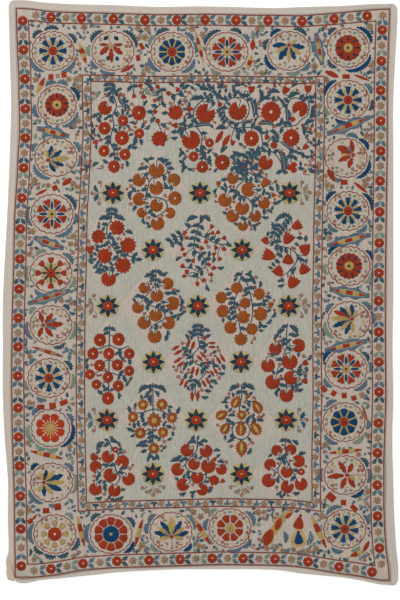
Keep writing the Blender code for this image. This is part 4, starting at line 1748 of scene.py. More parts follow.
MEDALLIONS = (
    Medallion("top_1", 53, 51, K.FANS,
              ((75, 112, TE), (199, 249, SL), (290, 337, SL))),
    Medallion("top_2", 113, 51, K.PALMETTE,
              ((114, 159, TE), (7, 67, TE), (204, 232, SL), (236, 276, SL)), hub=(-2, 6), heart=WE,
              leaves=((178, 11, 2.8, MA), (2, 11, 2.8, MA), (127, 5, 4.6, IN, 6), (51, 5, 4.6, IN, 6),
                      (221, 14, 5, MA), (321, 14, 5, MA), (272, 17, 4.4, MA), (258, 6, 3.4, BL, 10.6),
                      (294, 6, 3.4, BL, 12))),
    Medallion("top_3", 172, 52, K.BLOCKS,
              ((95, 134, TE), (193, 242, SL), (292, 342, SL)), 10),
    Medallion("top_4", 227, 52, K.FANS_AND_LEAVES,
              ((104, 164, TE), (24, 52, SL), (226, 256, MO), (284, 304, MO))),
    Medallion("top_5", 289, 51, K.PALMETTE,
              ((108, 142, BL), (42, 80, TE), (188, 240, BL), (262, 300, MO)), hub=(0, 6),
              leaves=((182, 16, 5, BL), (350, 15, 5, BL), (236, 17, 6, BL), (292, 15, 5, BL),
                      (270, 16, 4, WE), (208, 14, 4, WE), (320, 14, 4, WE), (30, 8, 3, WE))),
    Medallion("top_6", 348, 48, K.WHEEL,
              ((118, 146, TE), (10, 70, BL), (262, 344, BL))),
    Medallion("left_1", 57, 105, K.WHEEL,
              ((10, 54, BL), (282, 342, SL), (178, 216, SL)), 9, wide=19.0, tall=19.0),
    Medallion("left_2", 56, 157, K.PALMETTE,
              ((142, 168, SL), (198, 258, SL), (334, 366, SL), (60, 96, TE)), hub=(-7.7, -3),
              leaves=((75, 14, 4.4, BL), (35, 16, 4.4, BL), (340, 16, 4.4, BL), (300, 13, 4.4, BL),
                      (5, 20, 5.4, WE), (56, 13, 3, WE), (320, 12, 3, WE), (102, 9, 3, WE))),
    Medallion("left_3", 52, 214, K.FANS_AND_LEAVES,
              ((9, 62, TE), (158, 214, SL), (277, 331, SL))),
    Medallion("left_4", 51, 273, K.TULIPS,
              ((22, 62, SL), (318, 352, MO), (160, 205, MO), (226, 262, SL))),
    Medallion("left_5", 51, 325, K.PALMETTE,
              ((318, 372, MO), (170, 222, SL), (40, 62, TE), (128, 152, MO)), hub=(-7.5, 0),
              leaves=((107, 12, 4.4, MA), (52, 14, 4.6, MA), (3, 19, 5.6, MA), (308, 14, 4.6, MA),
                      (247, 12, 4.4, MA), (27, 14, 2.6, SL), (342, 13, 2.6, SL))),
    Medallion("left_6", 49, 378, K.FANS,
              ((122, 144, SL), (330, 372, MO), (186, 214, MO), (238, 262, SL))),
    Medallion("left_7", 50.5, 428, K.LOBES,
              ((296, 376, BL), (170, 226, MO), (112, 146, SL)), turn=22.5, wide=19.0, tall=18.4),
    Medallion("left_8", 51.6, 482.5, K.PALMETTE,
              ((122, 148, BL), (330, 386, MO), (198, 250, SL), (262, 290, SL)), hub=(-7.6, 0),
              leaves=((78, 12, 4, IN), (50, 15, 4.4, WE), (22, 20, 5.6, BL), (1, 20, 4.4, WE),
                      (336, 19, 5.4, BL), (306, 14, 3.8, WE), (272, 13, 4, BL), (240, 10, 3.8, WE),
                      (113, 10, 4, WE))),
    Medallion("bottom_1", 54.8, 534, K.GOLD_PETALS,
              ((150, 208, SL), (312, 352, TE), (40, 66, MO))),
    Medallion("bottom_2", 111, 534, K.RING_OF_PETALS,
              ((150, 206, SL), (302, 342, BL), (16, 50, TE)), 10),
    Medallion("bottom_3", 171, 531.6, K.PALMETTE,
              ((128, 158, SL), (4, 50, SL), (212, 242, MO), (300, 330, BL)), hub=(0.5, -5),
              leaves=((125, 18, 5, BL), (57, 18, 5, BL), (165, 17, 5, BL), (15, 17, 5, BL),
                      (90, 19, 6.4, WE), (145, 15, 3.8, WE), (35, 15, 3.8, WE), (190, 11, 4, WE),
                      (350, 11, 4, WE))),
    Medallion("bottom_4", 230, 528, K.PETALS,
              ((122, 152, MO), (4, 50, SL), (262, 300, SL), (196, 226, MO)), turn=22.5),
    Medallion("bottom_6", 344.8, 529, K.FANS,
              ((96, 142, SL), (168, 204, MO), (10, 40, SL), (284, 310, MO)), turn=-8),
    Medallion("right_1", 348, 100, K.FANS,
              ((118, 170, BL), (14, 48, SL), (330, 362, TE), (236, 276, BL), (196, 222, MO))),
    Medallion("right_2", 346, 158, K.PALMETTE,
              ((294, 356, BL), (20, 60, BL), (150, 182, MO), (236, 262, SL)), hub=(7, 3),
              leaves=((151, 17, 7, MA), (97, 14, 4.6, MA), (203, 15, 4.6, MA), (251, 13, 4.6, MA),
                      (126, 9, 2.6, SL), (178, 12, 2.2, WE))),
    Medallion("right_3", 348, 211, K.FANS,
              ((119, 156, BL), (0, 54, BL), (213, 246, SL), (290, 322, SL)), 9),
    Medallion("right_4", 349, 266, K.WHEEL,
              ((109, 151, BL), (14, 46, BL), (308, 350, MO), (174, 204, MO)), 9),
    Medallion("right_5", 349, 321, K.PALMETTE,
              ((180, 232, MO), (352, 386, SL), (128, 160, SL)), hub=(3, 2),
              leaves=((92, 14, 4.6, BL), (136, 16, 5, BL), (156, 19, 5, MA), (178, 20, 5, WE),
                      (202, 20, 5, BL), (224, 15, 4.4, WE), (246, 16, 4.6, BL), (274, 12, 3.8, WE),
                      (114, 13, 3.8, WE), (58, 9, 3.4, WE))),
    Medallion("right_6", 346, 369, K.FANS_AND_LEAVES,
              ((114, 162, BL), (350, 380, SL), (288, 332, SL))),
    Medallion("right_7", 344, 422, K.BLOCKS,
              ((214, 256, SL), (290, 326, MO), (180, 206, MO), (340, 366, SL)), 8),
    Medallion("right_8", 345, 475, K.PALMETTE,
              ((162, 198, SL), (338, 378, SL), (284, 322, BL)), hub=(2, 0),
              leaves=((121, 15, 5, MA), (65, 12, 4.6, MA), (186, 19, 4.8, MA), (246, 14, 4.8, MA),
                      (302, 14, 4.8, MA), (330, 8, 3.6, WE))),
)


@dataclass
class BorderFigures:
    """Everything between the medallions: striped daggers, squares, a paisley, flowers and sprigs.

    bars are rows of (across, down, across, down, width, dyes), from one end to the other on the guide.
    winged bars have a leafy blue outline along both sides.
    """

    bars: Rows = ((79.5, 44, 86, 63, 4.4, (WE, MA, WE, MA)), (140, 43.5, 143.5, 49.5, 4, (MA,)),
                  (137.6, 55, 138.6, 61, 4, (MA,)), (121, 72, 134, 65, 3.4, (MA,)),
                  (195.5, 32, 203.5, 63, 3.2, (WE, MA, WE, MA, WE)), (253, 31, 253, 40, 4, (MO,)),
                  (253, 40, 252.4, 50, 4.4, (MA,)), (251.6, 56, 247.6, 70, 3.8, (WE, MA, WE)),
                  (44.5, 78, 37, 93, 4, (MA, WE)), (48.5, 77, 53.5, 77, 5.4, (MA,)),
                  (56, 76, 59.5, 76, 4, (WA,)), (61.5, 75.4, 66.5, 74.6, 5.4, (MA,)),
                  (36, 195, 47, 189.5, 2.4, (MA,)), (52.5, 189, 57.5, 187, 5.4, (MA,)),
                  (62.5, 185, 71.5, 178.5, 4.4, (MA,)), (33, 347, 63, 356.5, 3.2, (MA, WA, MA, WA, MA)),
                  (37.5, 407, 44.5, 407, 5, (MA,)), (49.5, 406, 56, 405.4, 6, (MA,)),
                  (60, 404, 67.5, 401, 5, (MA,)), (31, 451, 62.5, 458.5, 4, (MA, WE, MA, WE, MA)),
                  (43, 510.8, 49.4, 510.2, 5.4, (MA,)), (54.6, 507.2, 61, 506.4, 6.4, (MA,)),
                  (28, 522.5, 32.5, 520, 4.6, (MA,)), (32, 520, 37, 514.6, 2, (MA,)),
                  (77.5, 516.5, 84.5, 546, 3.8, (WE, MA, WE, MA)),
                  (135, 546, 142.5, 519.5, 3.6, (MA, WE, MA)),
                  (193.5, 517.5, 210, 544, 4, (WE, MA, WE, MA)),
                  (311.5, 516, 326, 547.5, 4.6, (WE, MA, WE, MA)), (350.5, 556, 364, 551, 4.4, (MA, WE)),
                  (363, 552, 369, 541, 3.6, (MA,)), (325.5, 71.5, 338, 77, 4.6, (MA,)),
                  (342.4, 76.6, 349.6, 76.6, 4.6, (MA,)), (354.5, 75, 369, 80.5, 2.4, (MA,)),
                  (327.5, 170, 334.5, 181, 4.4, (MA,)), (340.6, 182.4, 347.4, 182.2, 5, (MA,)),
                  (354, 182.5, 367, 192.5, 2.8, (MA,)), (321.6, 386.4, 326, 391.6, 5, (MA,)),
                  (331.6, 392, 335.8, 394.6, 5.4, (MA,)), (341.6, 395.6, 346.6, 395.4, 5.4, (MA,)),
                  (351.4, 398.6, 356.4, 397.4, 4.8, (MA,)),
                  (329.5, 453, 361.5, 449.6, 3.8, (MA, WE, MA, WE, MA)), (327.6, 494, 334.4, 500, 7, (MA,)),
                  (340.6, 502.4, 346, 502.6, 5.4, (MA,)), (351, 505.4, 357, 510.4, 4.6, (MA,)),
                  (362, 404.6, 367.4, 421, 1.8, (MA,)))
    winged: Rows = ((40, 129, 66, 135.6, 3.4, (MA, WE, MA, WE, MA)),
                    (37, 238.6, 61, 247.6, 3.4, (WA, MA, WE, MA)),
                    (32, 302.5, 66.5, 291.6, 3.2, (MA, WA, MA, WA, MA, WA)),
                    (316.4, 36, 321.6, 62, 3, (MA, WE, MA, WE)),
                    (331, 132.6, 366, 118.6, 3.6, (MA, WA, MA, WE, MA)),
                    (331, 244.6, 366.5, 235.8, 3.2, (MA, WE, MA, WE, MA)),
                    (333, 289.8, 365.5, 295.4, 3.8, (MA, WE, MA, WE, MA)),
                    (329, 349.6, 363, 341.8, 3.4, (MA, WE, MA, WE, MA)))

    drop: Rows = ((0, 8), (2.4, 6.4), (1.6, 4.6), (3.4, 1.6), (5, -3), (4.4, -6.4), (0, -8),
                  (-4.4, -6.4), (-5, -3), (-3.2, 1.4), (-1.4, 5.0))
    dagger: Rows = ((264, 545.6), (262, 536), (270, 529), (276, 520), (283, 513), (292, 510),
                    (284, 520), (281, 528), (274, 536), (272, 543), (266, 546))
    dagger_tail: Rows = ((247, 531), (250.5, 545), (257, 549.4), (264, 546))
    dagger_bars: Rows = ((265, 545, 271.5, 529.5, 8.4), (276, 530, 280.6, 518, 5.2),
                         (285.6, 518, 291.4, 513, 3.4))
    paisley_leaves: Rows = ((284, 537, 13, 100), (308.4, 538, 15, 80), (301, 551, 10, 185),
                            (304, 552, 8, 20), (286, 550, 8, 20))
    fillers: Rows = ((3.3, 1500), (2.6, 3000), (2.0, 4500), (1.6, 5000), (1.2, 7000))
    filler_room: float = 0.78
    filler_margin: float = 0.74
    paisley_room: Rows = ((299, 530, 17), (273, 532, 12))
    ring_room: float = 0.8
    arc_at: float = 3.8
    arc_room: float = 2.2
    bar_room: float = 0.5
    wing_room: float = 2.6
    arc_step: int = 8
    new_arc_at: float = 4.2
    new_arc_spots: tuple = (0.0, 7.0, 14.0, 21.0)
    new_arc_span: tuple = (-5, 27)
    new_arc_room: float = 0.9
    new_arc_margin: float = 1.7

    def spindle(self, row: tuple, low: float, high: float, extra: float = 0.0) -> Array:
        """Part of a long figure that narrows at both ends.

        Args:
            row: The figure's row.
            low: Where the part starts, as a share of the length.
            high: Where it ends.
            extra: How much wider than the figure's own width. A leafy outline is much wider.

        Returns:
            The part's outline in squares from the cloth's middle.
        """
        ends = from_middle(np.reshape(row[:4], (2, 2)))
        run = ends[1] - ends[0]
        u = np.linspace(low, high, 7)[:, None]
        share = np.clip((u + 0.12) / 1.24 if extra > 2 else u, 0.05, 0.95)
        half = 0.6 * (row[4] + extra) * np.sin(np.pi * share) ** 0.6
        if extra > 2:
            half *= zigzag(7, 1.2, 0.8)[:, None]
        side = half * leftward(run) / np.hypot(*run)
        return np.concatenate([ends[0] + u * run + side, (ends[0] + u * run - side)[::-1]])

    def bar(self, work: Sprays, row: tuple, wings: bool) -> None:
        """Work one striped bar.

        Args:
            work: The needlework.
            row: The bar's row.
            wings: Whether it has a leafy outline.
        """
        ends = on_cloth(np.reshape(row[:4], (2, 2)))
        run = ends[1] - ends[0]
        turn = bearing_of(run)
        wide, dyes = row[4:]
        if len(dyes) == 1 and np.hypot(*run) < 2.2 * wide * SQUARE:
            block = np.array([(-0.5, 0.5), (0.5, 0.5), (0.5, -0.5), (-0.5, -0.5)])
            work.motif(block * (np.hypot(*run) / SQUARE, wide), ends.mean(axis=0), turn, dyes[0],
                       Layer.DETAIL)
            return
        if wings:
            leafy = self.spindle(row, -0.12, 1.12, 5.6), self.spindle(row, 0.0, 1.0, 1.2)
            work.fill([work.spot(outline) for outline in leafy], turn, Dye.SLATE)
        for number, dye in enumerate(dyes):
            part = self.spindle(row, number / len(dyes), (number + 1) / len(dyes))
            work.fill(work.spot(part), turn + 90, dye, Layer.DETAIL)

    def paisley(self, work: Sprays) -> None:
        """Work the lower border's one odd figure: a red paisley over a blue one, with a long dagger.

        Args:
            work: The needlework.
        """
        drop = smooth_path(self.drop, closed=True, steps=4)
        work.motif(1.55 * drop, on_cloth((298.6, 534.6)), 0, Dye.WELD, Layer.UNDER)
        work.motif(drop, on_cloth((299, 521.5)), -8, Dye.MADDER, edge=Dye.RUST)
        work.motif(0.86 * drop, on_cloth((298.4, 537.5)), 6, Dye.BLUE, Layer.DETAIL)
        work.fill(smooth_path(on_cloth(self.dagger), closed=True, steps=4), 50, Dye.WELD)
        work.chain(smooth_path(on_cloth(self.dagger_tail)), Dye.MADDER, 3.4)
        for row in self.dagger_bars:
            work.fill(work.spot(self.spindle(row, 0.0, 1.0)), 60, Dye.MADDER, Layer.DETAIL)
        for x, y, length, turn in self.paisley_leaves:
            work.leaf(from_middle((x, y)), length, turn, Dye.SLATE)

    def taken(self) -> Array:
        """Circles that cover the medallions, their arcs, the bars and the paisley.

        Returns:
            Rows of (x, y, radius) in squares from the cloth's middle.
        """
        rows = [*self.paisley_room]
        for medallion in MEDALLIONS:
            at = np.array([medallion.across, medallion.down])
            rows.append((*at, medallion.wide + self.ring_room))
            for start, finish, _ in medallion.arcs:
                for bearing in np.arange(start, finish, self.arc_step):
                    spot = at + polar(medallion.wide + self.arc_at, -bearing)
                    rows.append((*spot, self.arc_room))
        for bars, extra in ((self.bars, self.bar_room), (self.winged, self.wing_room)):
            for x0, y0, x1, y1, wide, _ in bars:
                for u in np.linspace(0, 1, 9):
                    rows.append((x0 + u * (x1 - x0), y0 + u * (y1 - y0), wide / 2 + extra))
        rows = np.array(rows, float)
        return np.column_stack([from_middle(rows[:, :2]), rows[:, 2]])

    def more_arcs(self, work: Sprays, room: Room) -> None:
        """Work short arcs of leaves round the medallions wherever there is room for one.

        Args:
            work: The needlework.
            room: What is already filled, in squares from the cloth's middle.
        """
        for medallion in MEDALLIONS:
            middle = from_middle((medallion.across, medallion.down))
            for number, start in enumerate(range(0, 360, self.arc_step)):
                ways = start + np.array(self.new_arc_spots)
                spots = middle + polar(medallion.wide + self.new_arc_at, ways)
                free = min(room.gap(spot) for spot in spots) > self.new_arc_room
                if free and all(self.clearance(spot) > self.new_arc_margin for spot in spots):
                    dye = (Dye.SLATE, Dye.MOSS, Dye.SLATE, Dye.TEAL)[number % 4]
                    medallion.arc(work, *[start + turn for turn in self.new_arc_span], dye)
                    room.take(spots, self.arc_room)

    def clearance(self, place: Array) -> float:
        """How far a place is from the border's lines, below zero where it is outside the border.

        Args:
            place: The place, in squares from the cloth's middle.

        Returns:
            The distance in squares.
        """
        at = place * SQUARE
        inner, outer = FRAMES.line(Ring.BORDER), FRAMES.line(Ring.GUARD)
        if inside(inner, at) or not inside(outer, at):
            return -1.0
        return min(distance(inner, at), distance(outer, at)) / SQUARE

    def gaps(self, work: Sprays) -> None:
        """Fill what is left with small brown flowers, tendrils and sprigs, none touching another.

        Args:
            work: The needlework.
        """
        room = Room(self.taken())
        self.more_arcs(work, room)
        corner = FRAMES.line(Ring.GUARD).max(axis=0) / SQUARE
        for size, tries in self.fillers:
            for number, place in enumerate(work.chance.uniform(-corner, corner, (tries, 2))):
                near, margin = self.filler_room * size, self.filler_margin * size
                if room.gap(place) >= near and self.clearance(place) >= margin:
                    self.small(work, place, size, number, room.root(place, near))

    def small(self, work: Sprays, place: Array, size: float, number: int, root: Array) -> None:
        """Work one of the small figures that fill the gaps.

        Args:
            work: The needlework.
            place: Its middle.
            size: Its radius.
            number: Chooses the figure.
            root: Where it grows from.
        """
        turn = work.chance.uniform(0, 360)
        if size > 3 or (size > 2.5 and number % 2):
            work.motif(lobed(size + 0.4, 5, 0.34), work.spot(place), turn, Dye.WALNUT)
            work.dot(place, 0.8, 6, Dye.ORANGE)
        elif size > 2 and number % 3:
            work.tendril(place, 1.9, root)
        else:
            dye = (Dye.SLATE, Dye.MOSS, Dye.TEAL, Dye.SLATE)[number % 4]
            work.leaf(place, 2.0 * size, turn, dye)

    def build(self) -> None:
        """Work the figures, and then what fills the gaps between them."""
        figures, fillers = Sprays("border_figures"), Sprays("border_sprigs")
        for rows, wings in ((self.bars, False), (self.winged, True)):
            for row in rows:
                self.bar(figures, row, wings)
        self.paisley(figures)
        self.gaps(fillers)
        figures.finish()
        fillers.finish()


def inside(outline: Array, at: Array) -> bool:
    """Whether a place is inside a closed outline.

    Args:
        outline: The outline's points.
        at: The place.

    Returns:
        True if it is inside.
    """
    a, b = outline, np.roll(outline, -1, axis=0)
    crossing = (a[:, 1] <= at[1]) != (b[:, 1] <= at[1])
    a, b = a[crossing], b[crossing]
    x = a[:, 0] + (at[1] - a[:, 1]) * (b[:, 0] - a[:, 0]) / (b[:, 1] - a[:, 1])
    return int((x > at[0]).sum()) % 2 == 1


def distance(outline: Array, at: Array) -> float:
    """How far a place is from a closed outline.

    Args:
        outline: The outline's points.
        at: The place.

    Returns:
        The shortest distance.
    """
    run = np.roll(outline, -1, axis=0) - outline
    u = np.clip(((at - outline) * run).sum(axis=1) / np.maximum((run**2).sum(axis=1), TINY), 0, 1)
    return float(np.linalg.norm(outline + u[:, None] * run - at, axis=1).min())


@dataclass
class GuardBorder:
    """The outer narrow border: red rounds and brown flowers in turn, with small leaves between them.

    Each side gives where its rounds are, in squares down a side border or across an end one. ends has
    the brown flowers beyond a side's first and last rounds.
    """

    left: Sequence[float] = (21, 50, 79, 109, 138, 168, 198, 229, 259, 289, 318, 347, 376, 408, 437, 466,
                             496, 529, 566)
    right: Sequence[float] = (30, 61, 90.5, 121, 151, 181, 212, 243, 273, 301, 332, 362, 392, 423, 453, 485,
            516, 548)
    top: Sequence[float] = (51, 81.5, 113.5, 145, 177, 205, 236, 268, 302, 334, 367)
    bottom: Sequence[float] = (51, 83, 117, 149, 180, 212, 243, 275, 308, 339, 372)

    ends: tuple = ((), (15.5, 564.0), (36.0,), (34.0,))
    steps: int = 240
    round_form: tuple = (5.1, 10, 0.12)
    flower_form: tuple = (4.0, 6, 0.34)
    flower_turn: float = 14.0
    eye_form: tuple = (0.85, 5)
    eye_offset: tuple = (0.3, 0.2)
    near: float = 0.8
    leaf_length: float = 5.4
    leaf_offset: float = 2.7
    leaf_turn: float = 35.0

    def places(self, side: Side, marks: Array) -> Array:
        """Places on a side's middle line.

        Args:
            side: The side.
            marks: Squares down a side border or across an end one.

        Returns:
            Places in squares from the cloth's middle, one a row.
        """
        low = Ring.GUARD.value[list(Side).index(side)]
        out, upright = side.value
        shares, fixed = np.linspace(0.0, 1.0, self.steps), np.full(self.steps, 0.0)
        fixed += low / 2 if side in (Side.LEFT, Side.TOP) else (1 + low) / 2
        line = FRAMES.warp(fixed, shares) if upright else FRAMES.warp(shares, fixed)
        axis = 1 if upright else 0
        other = np.interp(marks, line[:, axis], line[:, 1 - axis])
        return from_middle(np.stack([other, marks] if upright else [marks, other], axis=1))

    def build(self) -> None:
        """Work the four sides."""
        for side, ends in zip(Side, self.ends):
            work = Sprays("guard_" + side.name.lower())
            rounds = side.rows(self)
            between = np.sort(np.concatenate([(rounds[:-1] + rounds[1:]) / 2, ends]))
            for place in self.places(side, rounds):
                outline = lobed(*self.round_form)
                work.motif(outline, work.spot(place), 0, Dye.MADDER, edge=Dye.RUST)
                work.dot(place + self.eye_offset, *self.eye_form, Dye.PALE)
            for number, place in enumerate(self.places(side, between)):
                outline = lobed(*self.flower_form)
                work.motif(outline, work.spot(place), self.flower_turn * number, Dye.WALNUT)
            marks = np.sort(np.concatenate([rounds, between]))
            near = np.diff(marks) < self.near * np.diff(rounds).mean()
            along = 90.0 if side.value[1] else 0.0
            for number, place in enumerate(self.places(side, ((marks[:-1] + marks[1:]) / 2)[near])):
                dye = (Dye.SLATE, Dye.TEAL, Dye.MOSS, Dye.SLATE)[number % 4]
                for hand in (-1, 1):
                    aside = polar(self.leaf_offset * hand, 90.0 - along)
                    work.leaf(place + aside, self.leaf_length, along + self.leaf_turn * hand, dye)
            work.finish()


@dataclass
class InnerBorder:
    """The narrow border round the field: three-lobed leaves and brown flowers on a thin waving vine."""

    repeat: float = 14.6
    vine_width: float = 2.6
    vine_sway: float = 2.2
    flower_sway: float = 1.0
    flower_form: tuple = (3.4, 5, 0.36)
    flower_turn: float = 30.0
    leaf_sway: float = 1.8
    leaf_width: float = 2.3
    leaf_overlap: float = 0.6
    lobes: Rows = ((0, 5.8), (70, 4.6), (-70, 4.6))

    def build(self) -> None:
        """Work the border."""
        work = Needlework("inner_border")
        line = looped((FRAMES.line(Ring.BORDER, 96) + FRAMES.line(Ring.FIELD, 96)) / 2)
        middle, heading = evenly(line, self.repeat * SQUARE / 2)
        vine = []
        for number, (at, along) in enumerate(zip(middle, heading)):
            turn = bearing_of(along)
            hand = 1 if number % 4 < 2 else -1
            out = leftward(along) * hand * SQUARE
            if number % 2:
                spot, outline = at + out * self.flower_sway, lobed(*self.flower_form)
                work.fill(placed(outline, spot, self.flower_turn * number), turn + 90, Dye.WALNUT)
            else:
                for bend, length in self.lobes:
                    leaf_turn = turn + 90 * hand + bend
                    outline = petal(length, self.leaf_width) + (length / 2 - self.leaf_overlap, 0.0)
                    work.fill(placed(outline, at - out * self.leaf_sway, leaf_turn), leaf_turn,
                              Dye.SLATE if number % 8 else Dye.TEAL)
            vine.append(at - out * self.vine_sway)
        work.chain(smooth_path(vine, closed=True, steps=6), Dye.SLATE, self.vine_width, Layer.STEM)
        work.finish()


@dataclass
class FramingLines:
    """The four red lines in chain stitch."""

    width: float = 5.0
    steps: int = 90

    def build(self) -> None:
        """Work the lines, one piece each."""
        for ring in Ring:
            work = Needlework("line_" + ring.name.lower())
            work.chain(looped(FRAMES.line(ring, self.steps)), Dye.LINE, self.width, Layer.DETAIL)
            work.finish()


def clipped(outline: Array, area: Array) -> Array:
    """Cut an outline down to the part inside a four-sided area.

    Args:
        outline: The outline's points.
        area: The area's four corners, clockwise.

    Returns:
        The points of what is left.
    """
    for a, b in zip(area, np.roll(area, -1, axis=0)):
        side = (outline - a) @ leftward(b - a)
        kept = []
        for here, there, off, next_off in zip(outline, np.roll(outline, -1, axis=0), side,
                                              np.roll(side, -1)):
            if off <= 0:
                kept.append(here)
            if (off <= 0) != (next_off <= 0):
                kept.append(here + off / (off - next_off) * (there - here))
        if len(kept) < 3:
            return np.zeros((0, 2))
        outline = np.array(kept)
    return outline


@dataclass
class Ground:
    """The laid silk of the ground: cream in the borders and lozenges, greener in the field's lattice."""

    wide: float = 34.0
    tall: float = 43.0
    margin: float = 3.0
    upper_row: float = 150.0
    upper: Sequence = (
        ((115, 64), (153, 122), (115, 180), (77, 122)),
        ((130, 82), (190, 82), (195, 105), (165, 141), (151, 113)),
        ((205, 82), (318, 82), (318, 158), (288, 178), (262, 158), (245, 142), (229, 158), (205, 172),
         (190, 148)),
    )

    def lozenges(self) -> list[Array]:
        """The cream lozenges under the bouquets, cut off at the field's edge.

        Returns:
            Their outlines in millimetres.
        """
        inward = np.array([(1, -1), (-1, -1), (-1, 1), (1, 1)]) * self.margin
        area = FRAMES.line(Ring.FIELD, 1) + inward
        unit = np.array([(self.wide, 0), (0, -self.tall), (-self.wide, 0), (0, self.tall)])
        whole = [unit + (b.across, b.down) for b in BOUQUETS if b.down > self.upper_row]
        found = [clipped(on_cloth(corners), area) for corners in (*whole, *self.upper)]
        return [outline for outline in found if len(outline)]

    def lay(self, name: str, dye: Dye, areas: Sequence) -> None:
        """Lay one piece of the ground.

        Args:
            name: Its name.
            dye: Its colour.
            areas: Its areas, each an outline or several that leave a part open.
        """
        work = Needlework("ground_" + name)
        for outlines in areas:
            work.fill(outlines, 90, dye, Layer.GROUND, GROUND_PITCH, GROUND_REACH)
        work.finish()

    def build(self) -> None:
        """Lay the ground."""
        lines = [FRAMES.line(ring) for ring in Ring]
        for name, outer, inner in zip(("guard", "border", "inner"), lines, lines[1:]):
            self.lay(name, Dye.CREAM, [[outer, inner]])
        lozenges = self.lozenges()
        self.lay("lattice", Dye.SAGE_GROUND, [[lines[-1], *lozenges]])
        self.lay("lozenges", Dye.CREAM, lozenges)


@dataclass
class FieldSprigs:
    """Sprigs at the field's edges, outside the outermost stars.

    rows are (across, down, bearing, dye): where the stem starts on the guide and where it points.
    """

    rows: Rows = (
        (101, 193, 180, TE), (96, 306, 180, WA), (95, 420, 180, SL), (301, 193, 0, WA), (300, 306, 0, WA),
        (298, 420, 0, TE), (153, 486, 270, WA), (241.5, 486, 270, WA), (150, 98, 70, MO),
        (97, 101, 120, MO), (315, 176, 80, TE), (92, 170, 100, TE),
    )
    stem: float = 6.0
    stem_width: float = 3.0
    leaves: Rows = ((-1, 8.0), (1, 6.6))
    leaf_at: tuple = (4.4, 4.6)
    leaf_turn: float = 66.0
    curl: float = 1.9
    curl_at: tuple = (1.5, 10.4)
    curl_root: float = 4.0
    tip_at: float = 8.6
    tip_root: float = 5.0

    def build(self) -> None:
        """Work the sprigs."""
        work = Sprays("field_sprigs")
        for across, down, bearing, dye in self.rows:
            start = from_middle((across, down))
            out = polar(1.0, bearing)
            side = leftward(out)
            work.chain(work.spot([start, start + self.stem * out]), dye, self.stem_width, Layer.STEM)
            for hand, length in self.leaves:
                leaf, curl = (start + at[0] * out + at[1] * hand * side
                              for at in (self.leaf_at, self.curl_at))
                work.leaf(leaf, length, bearing + self.leaf_turn * hand, dye)
                work.tendril(curl, self.curl, start + self.curl_root * hand * side)
            work.tendril(start + self.tip_at * out, self.curl, start + self.tip_root * out)
        work.finish()


# The gap at a seam, in millimetres
SEAM_GAP = 0.3


def lay_sheet(name: str, node: str, grids: Sequence[Array], colours: Array) -> None:
    """Lay a closed sheet from its grid, whose rows run upwards and columns to the right.

    Args:
        name: The piece's name.
        node: The CAD node that it replaces.
        grids: X, Y and the thickness at each point, in millimetres.
        colours: The face's linear colour at each point.
    """
    x, y, thick = grids
    low = SHAPE.rise(x, y)
    rows, columns = x.shape
    index = np.arange(x.size).reshape(rows, columns)
    a, b, c, d = index[:-1, :-1], index[:-1, 1:], index[1:, 1:], index[1:, :-1]
    lower = np.stack([a, d, c, b], axis=-1).reshape(-1, 4)
    upper = np.stack([a, b, c, d], axis=-1).reshape(-1, 4) + x.size
    rim = np.concatenate([index[0, :], index[1:, -1], index[-1, -2::-1], index[-2:0:-1, 0]])
    ahead = np.roll(rim, -1)
    side = np.stack([rim, ahead, ahead + x.size, rim + x.size], axis=1)
    faces = np.concatenate([lower, upper, side])
    points = np.concatenate([np.stack([x, y, high], axis=-1).reshape(-1, 3) for high in (low, low + thick)])
    mesh = new_mesh(name, points, faces.ravel(), np.full(len(faces), 4))
    mesh.polygons.foreach_set("use_smooth", np.arange(len(faces)) < len(lower) + len(upper))
    paint(mesh, COTTON.attribute, np.tile(colours.reshape(-1, 3), (2, 1)))
    piece = stand(mesh, COTTON)
    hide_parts(node)


@dataclass
class Panel:
    """The embroidered panel's own cloth, between the seams, its cream darkened as painted shade for the
    cloth seen between the stitches.
    """

    cell: float = 25.0
    flat: tuple = (1.62, 2.39)
    # How far the cream is darkened: painted shade between the stitches
    shade: float = 0.8
    settling: int = 4

    def build(self) -> None:
        """Lay the panel."""
        s = np.linspace(0.0, 1.0, round(CLOTH_WIDTH / self.cell))[None, :]
        t = np.linspace(0.0, 1.0, round(CLOTH_LENGTH / self.cell))[:, None]
        x = (s - 0.5) * CLOTH_WIDTH + 0 * t
        y = (t - 0.5) * CLOTH_LENGTH + 0 * s
        for _ in range(self.settling):
            left, right = SHAPE.line(Side.LEFT, y, 1), SHAPE.line(Side.RIGHT, y, 1)
            x = (1 - s) * (left + SEAM_GAP) + s * (right - SEAM_GAP)
            bottom, top = SHAPE.line(Side.BOTTOM, x, 1), SHAPE.line(Side.TOP, x, 1)
            y = (1 - t) * (bottom + SEAM_GAP) + t * (top - SEAM_GAP)
        # Painted shade: the panel's cream darkened, as it looks in the shade between the stitches
        colours = np.broadcast_to(Dye.CREAM.linear() * self.shade, (*x.shape, 3))
        lay_sheet("panel_cloth", "embroidered_panel",
                  (x, y, np.full(x.shape, PANEL_FACE)), colours)


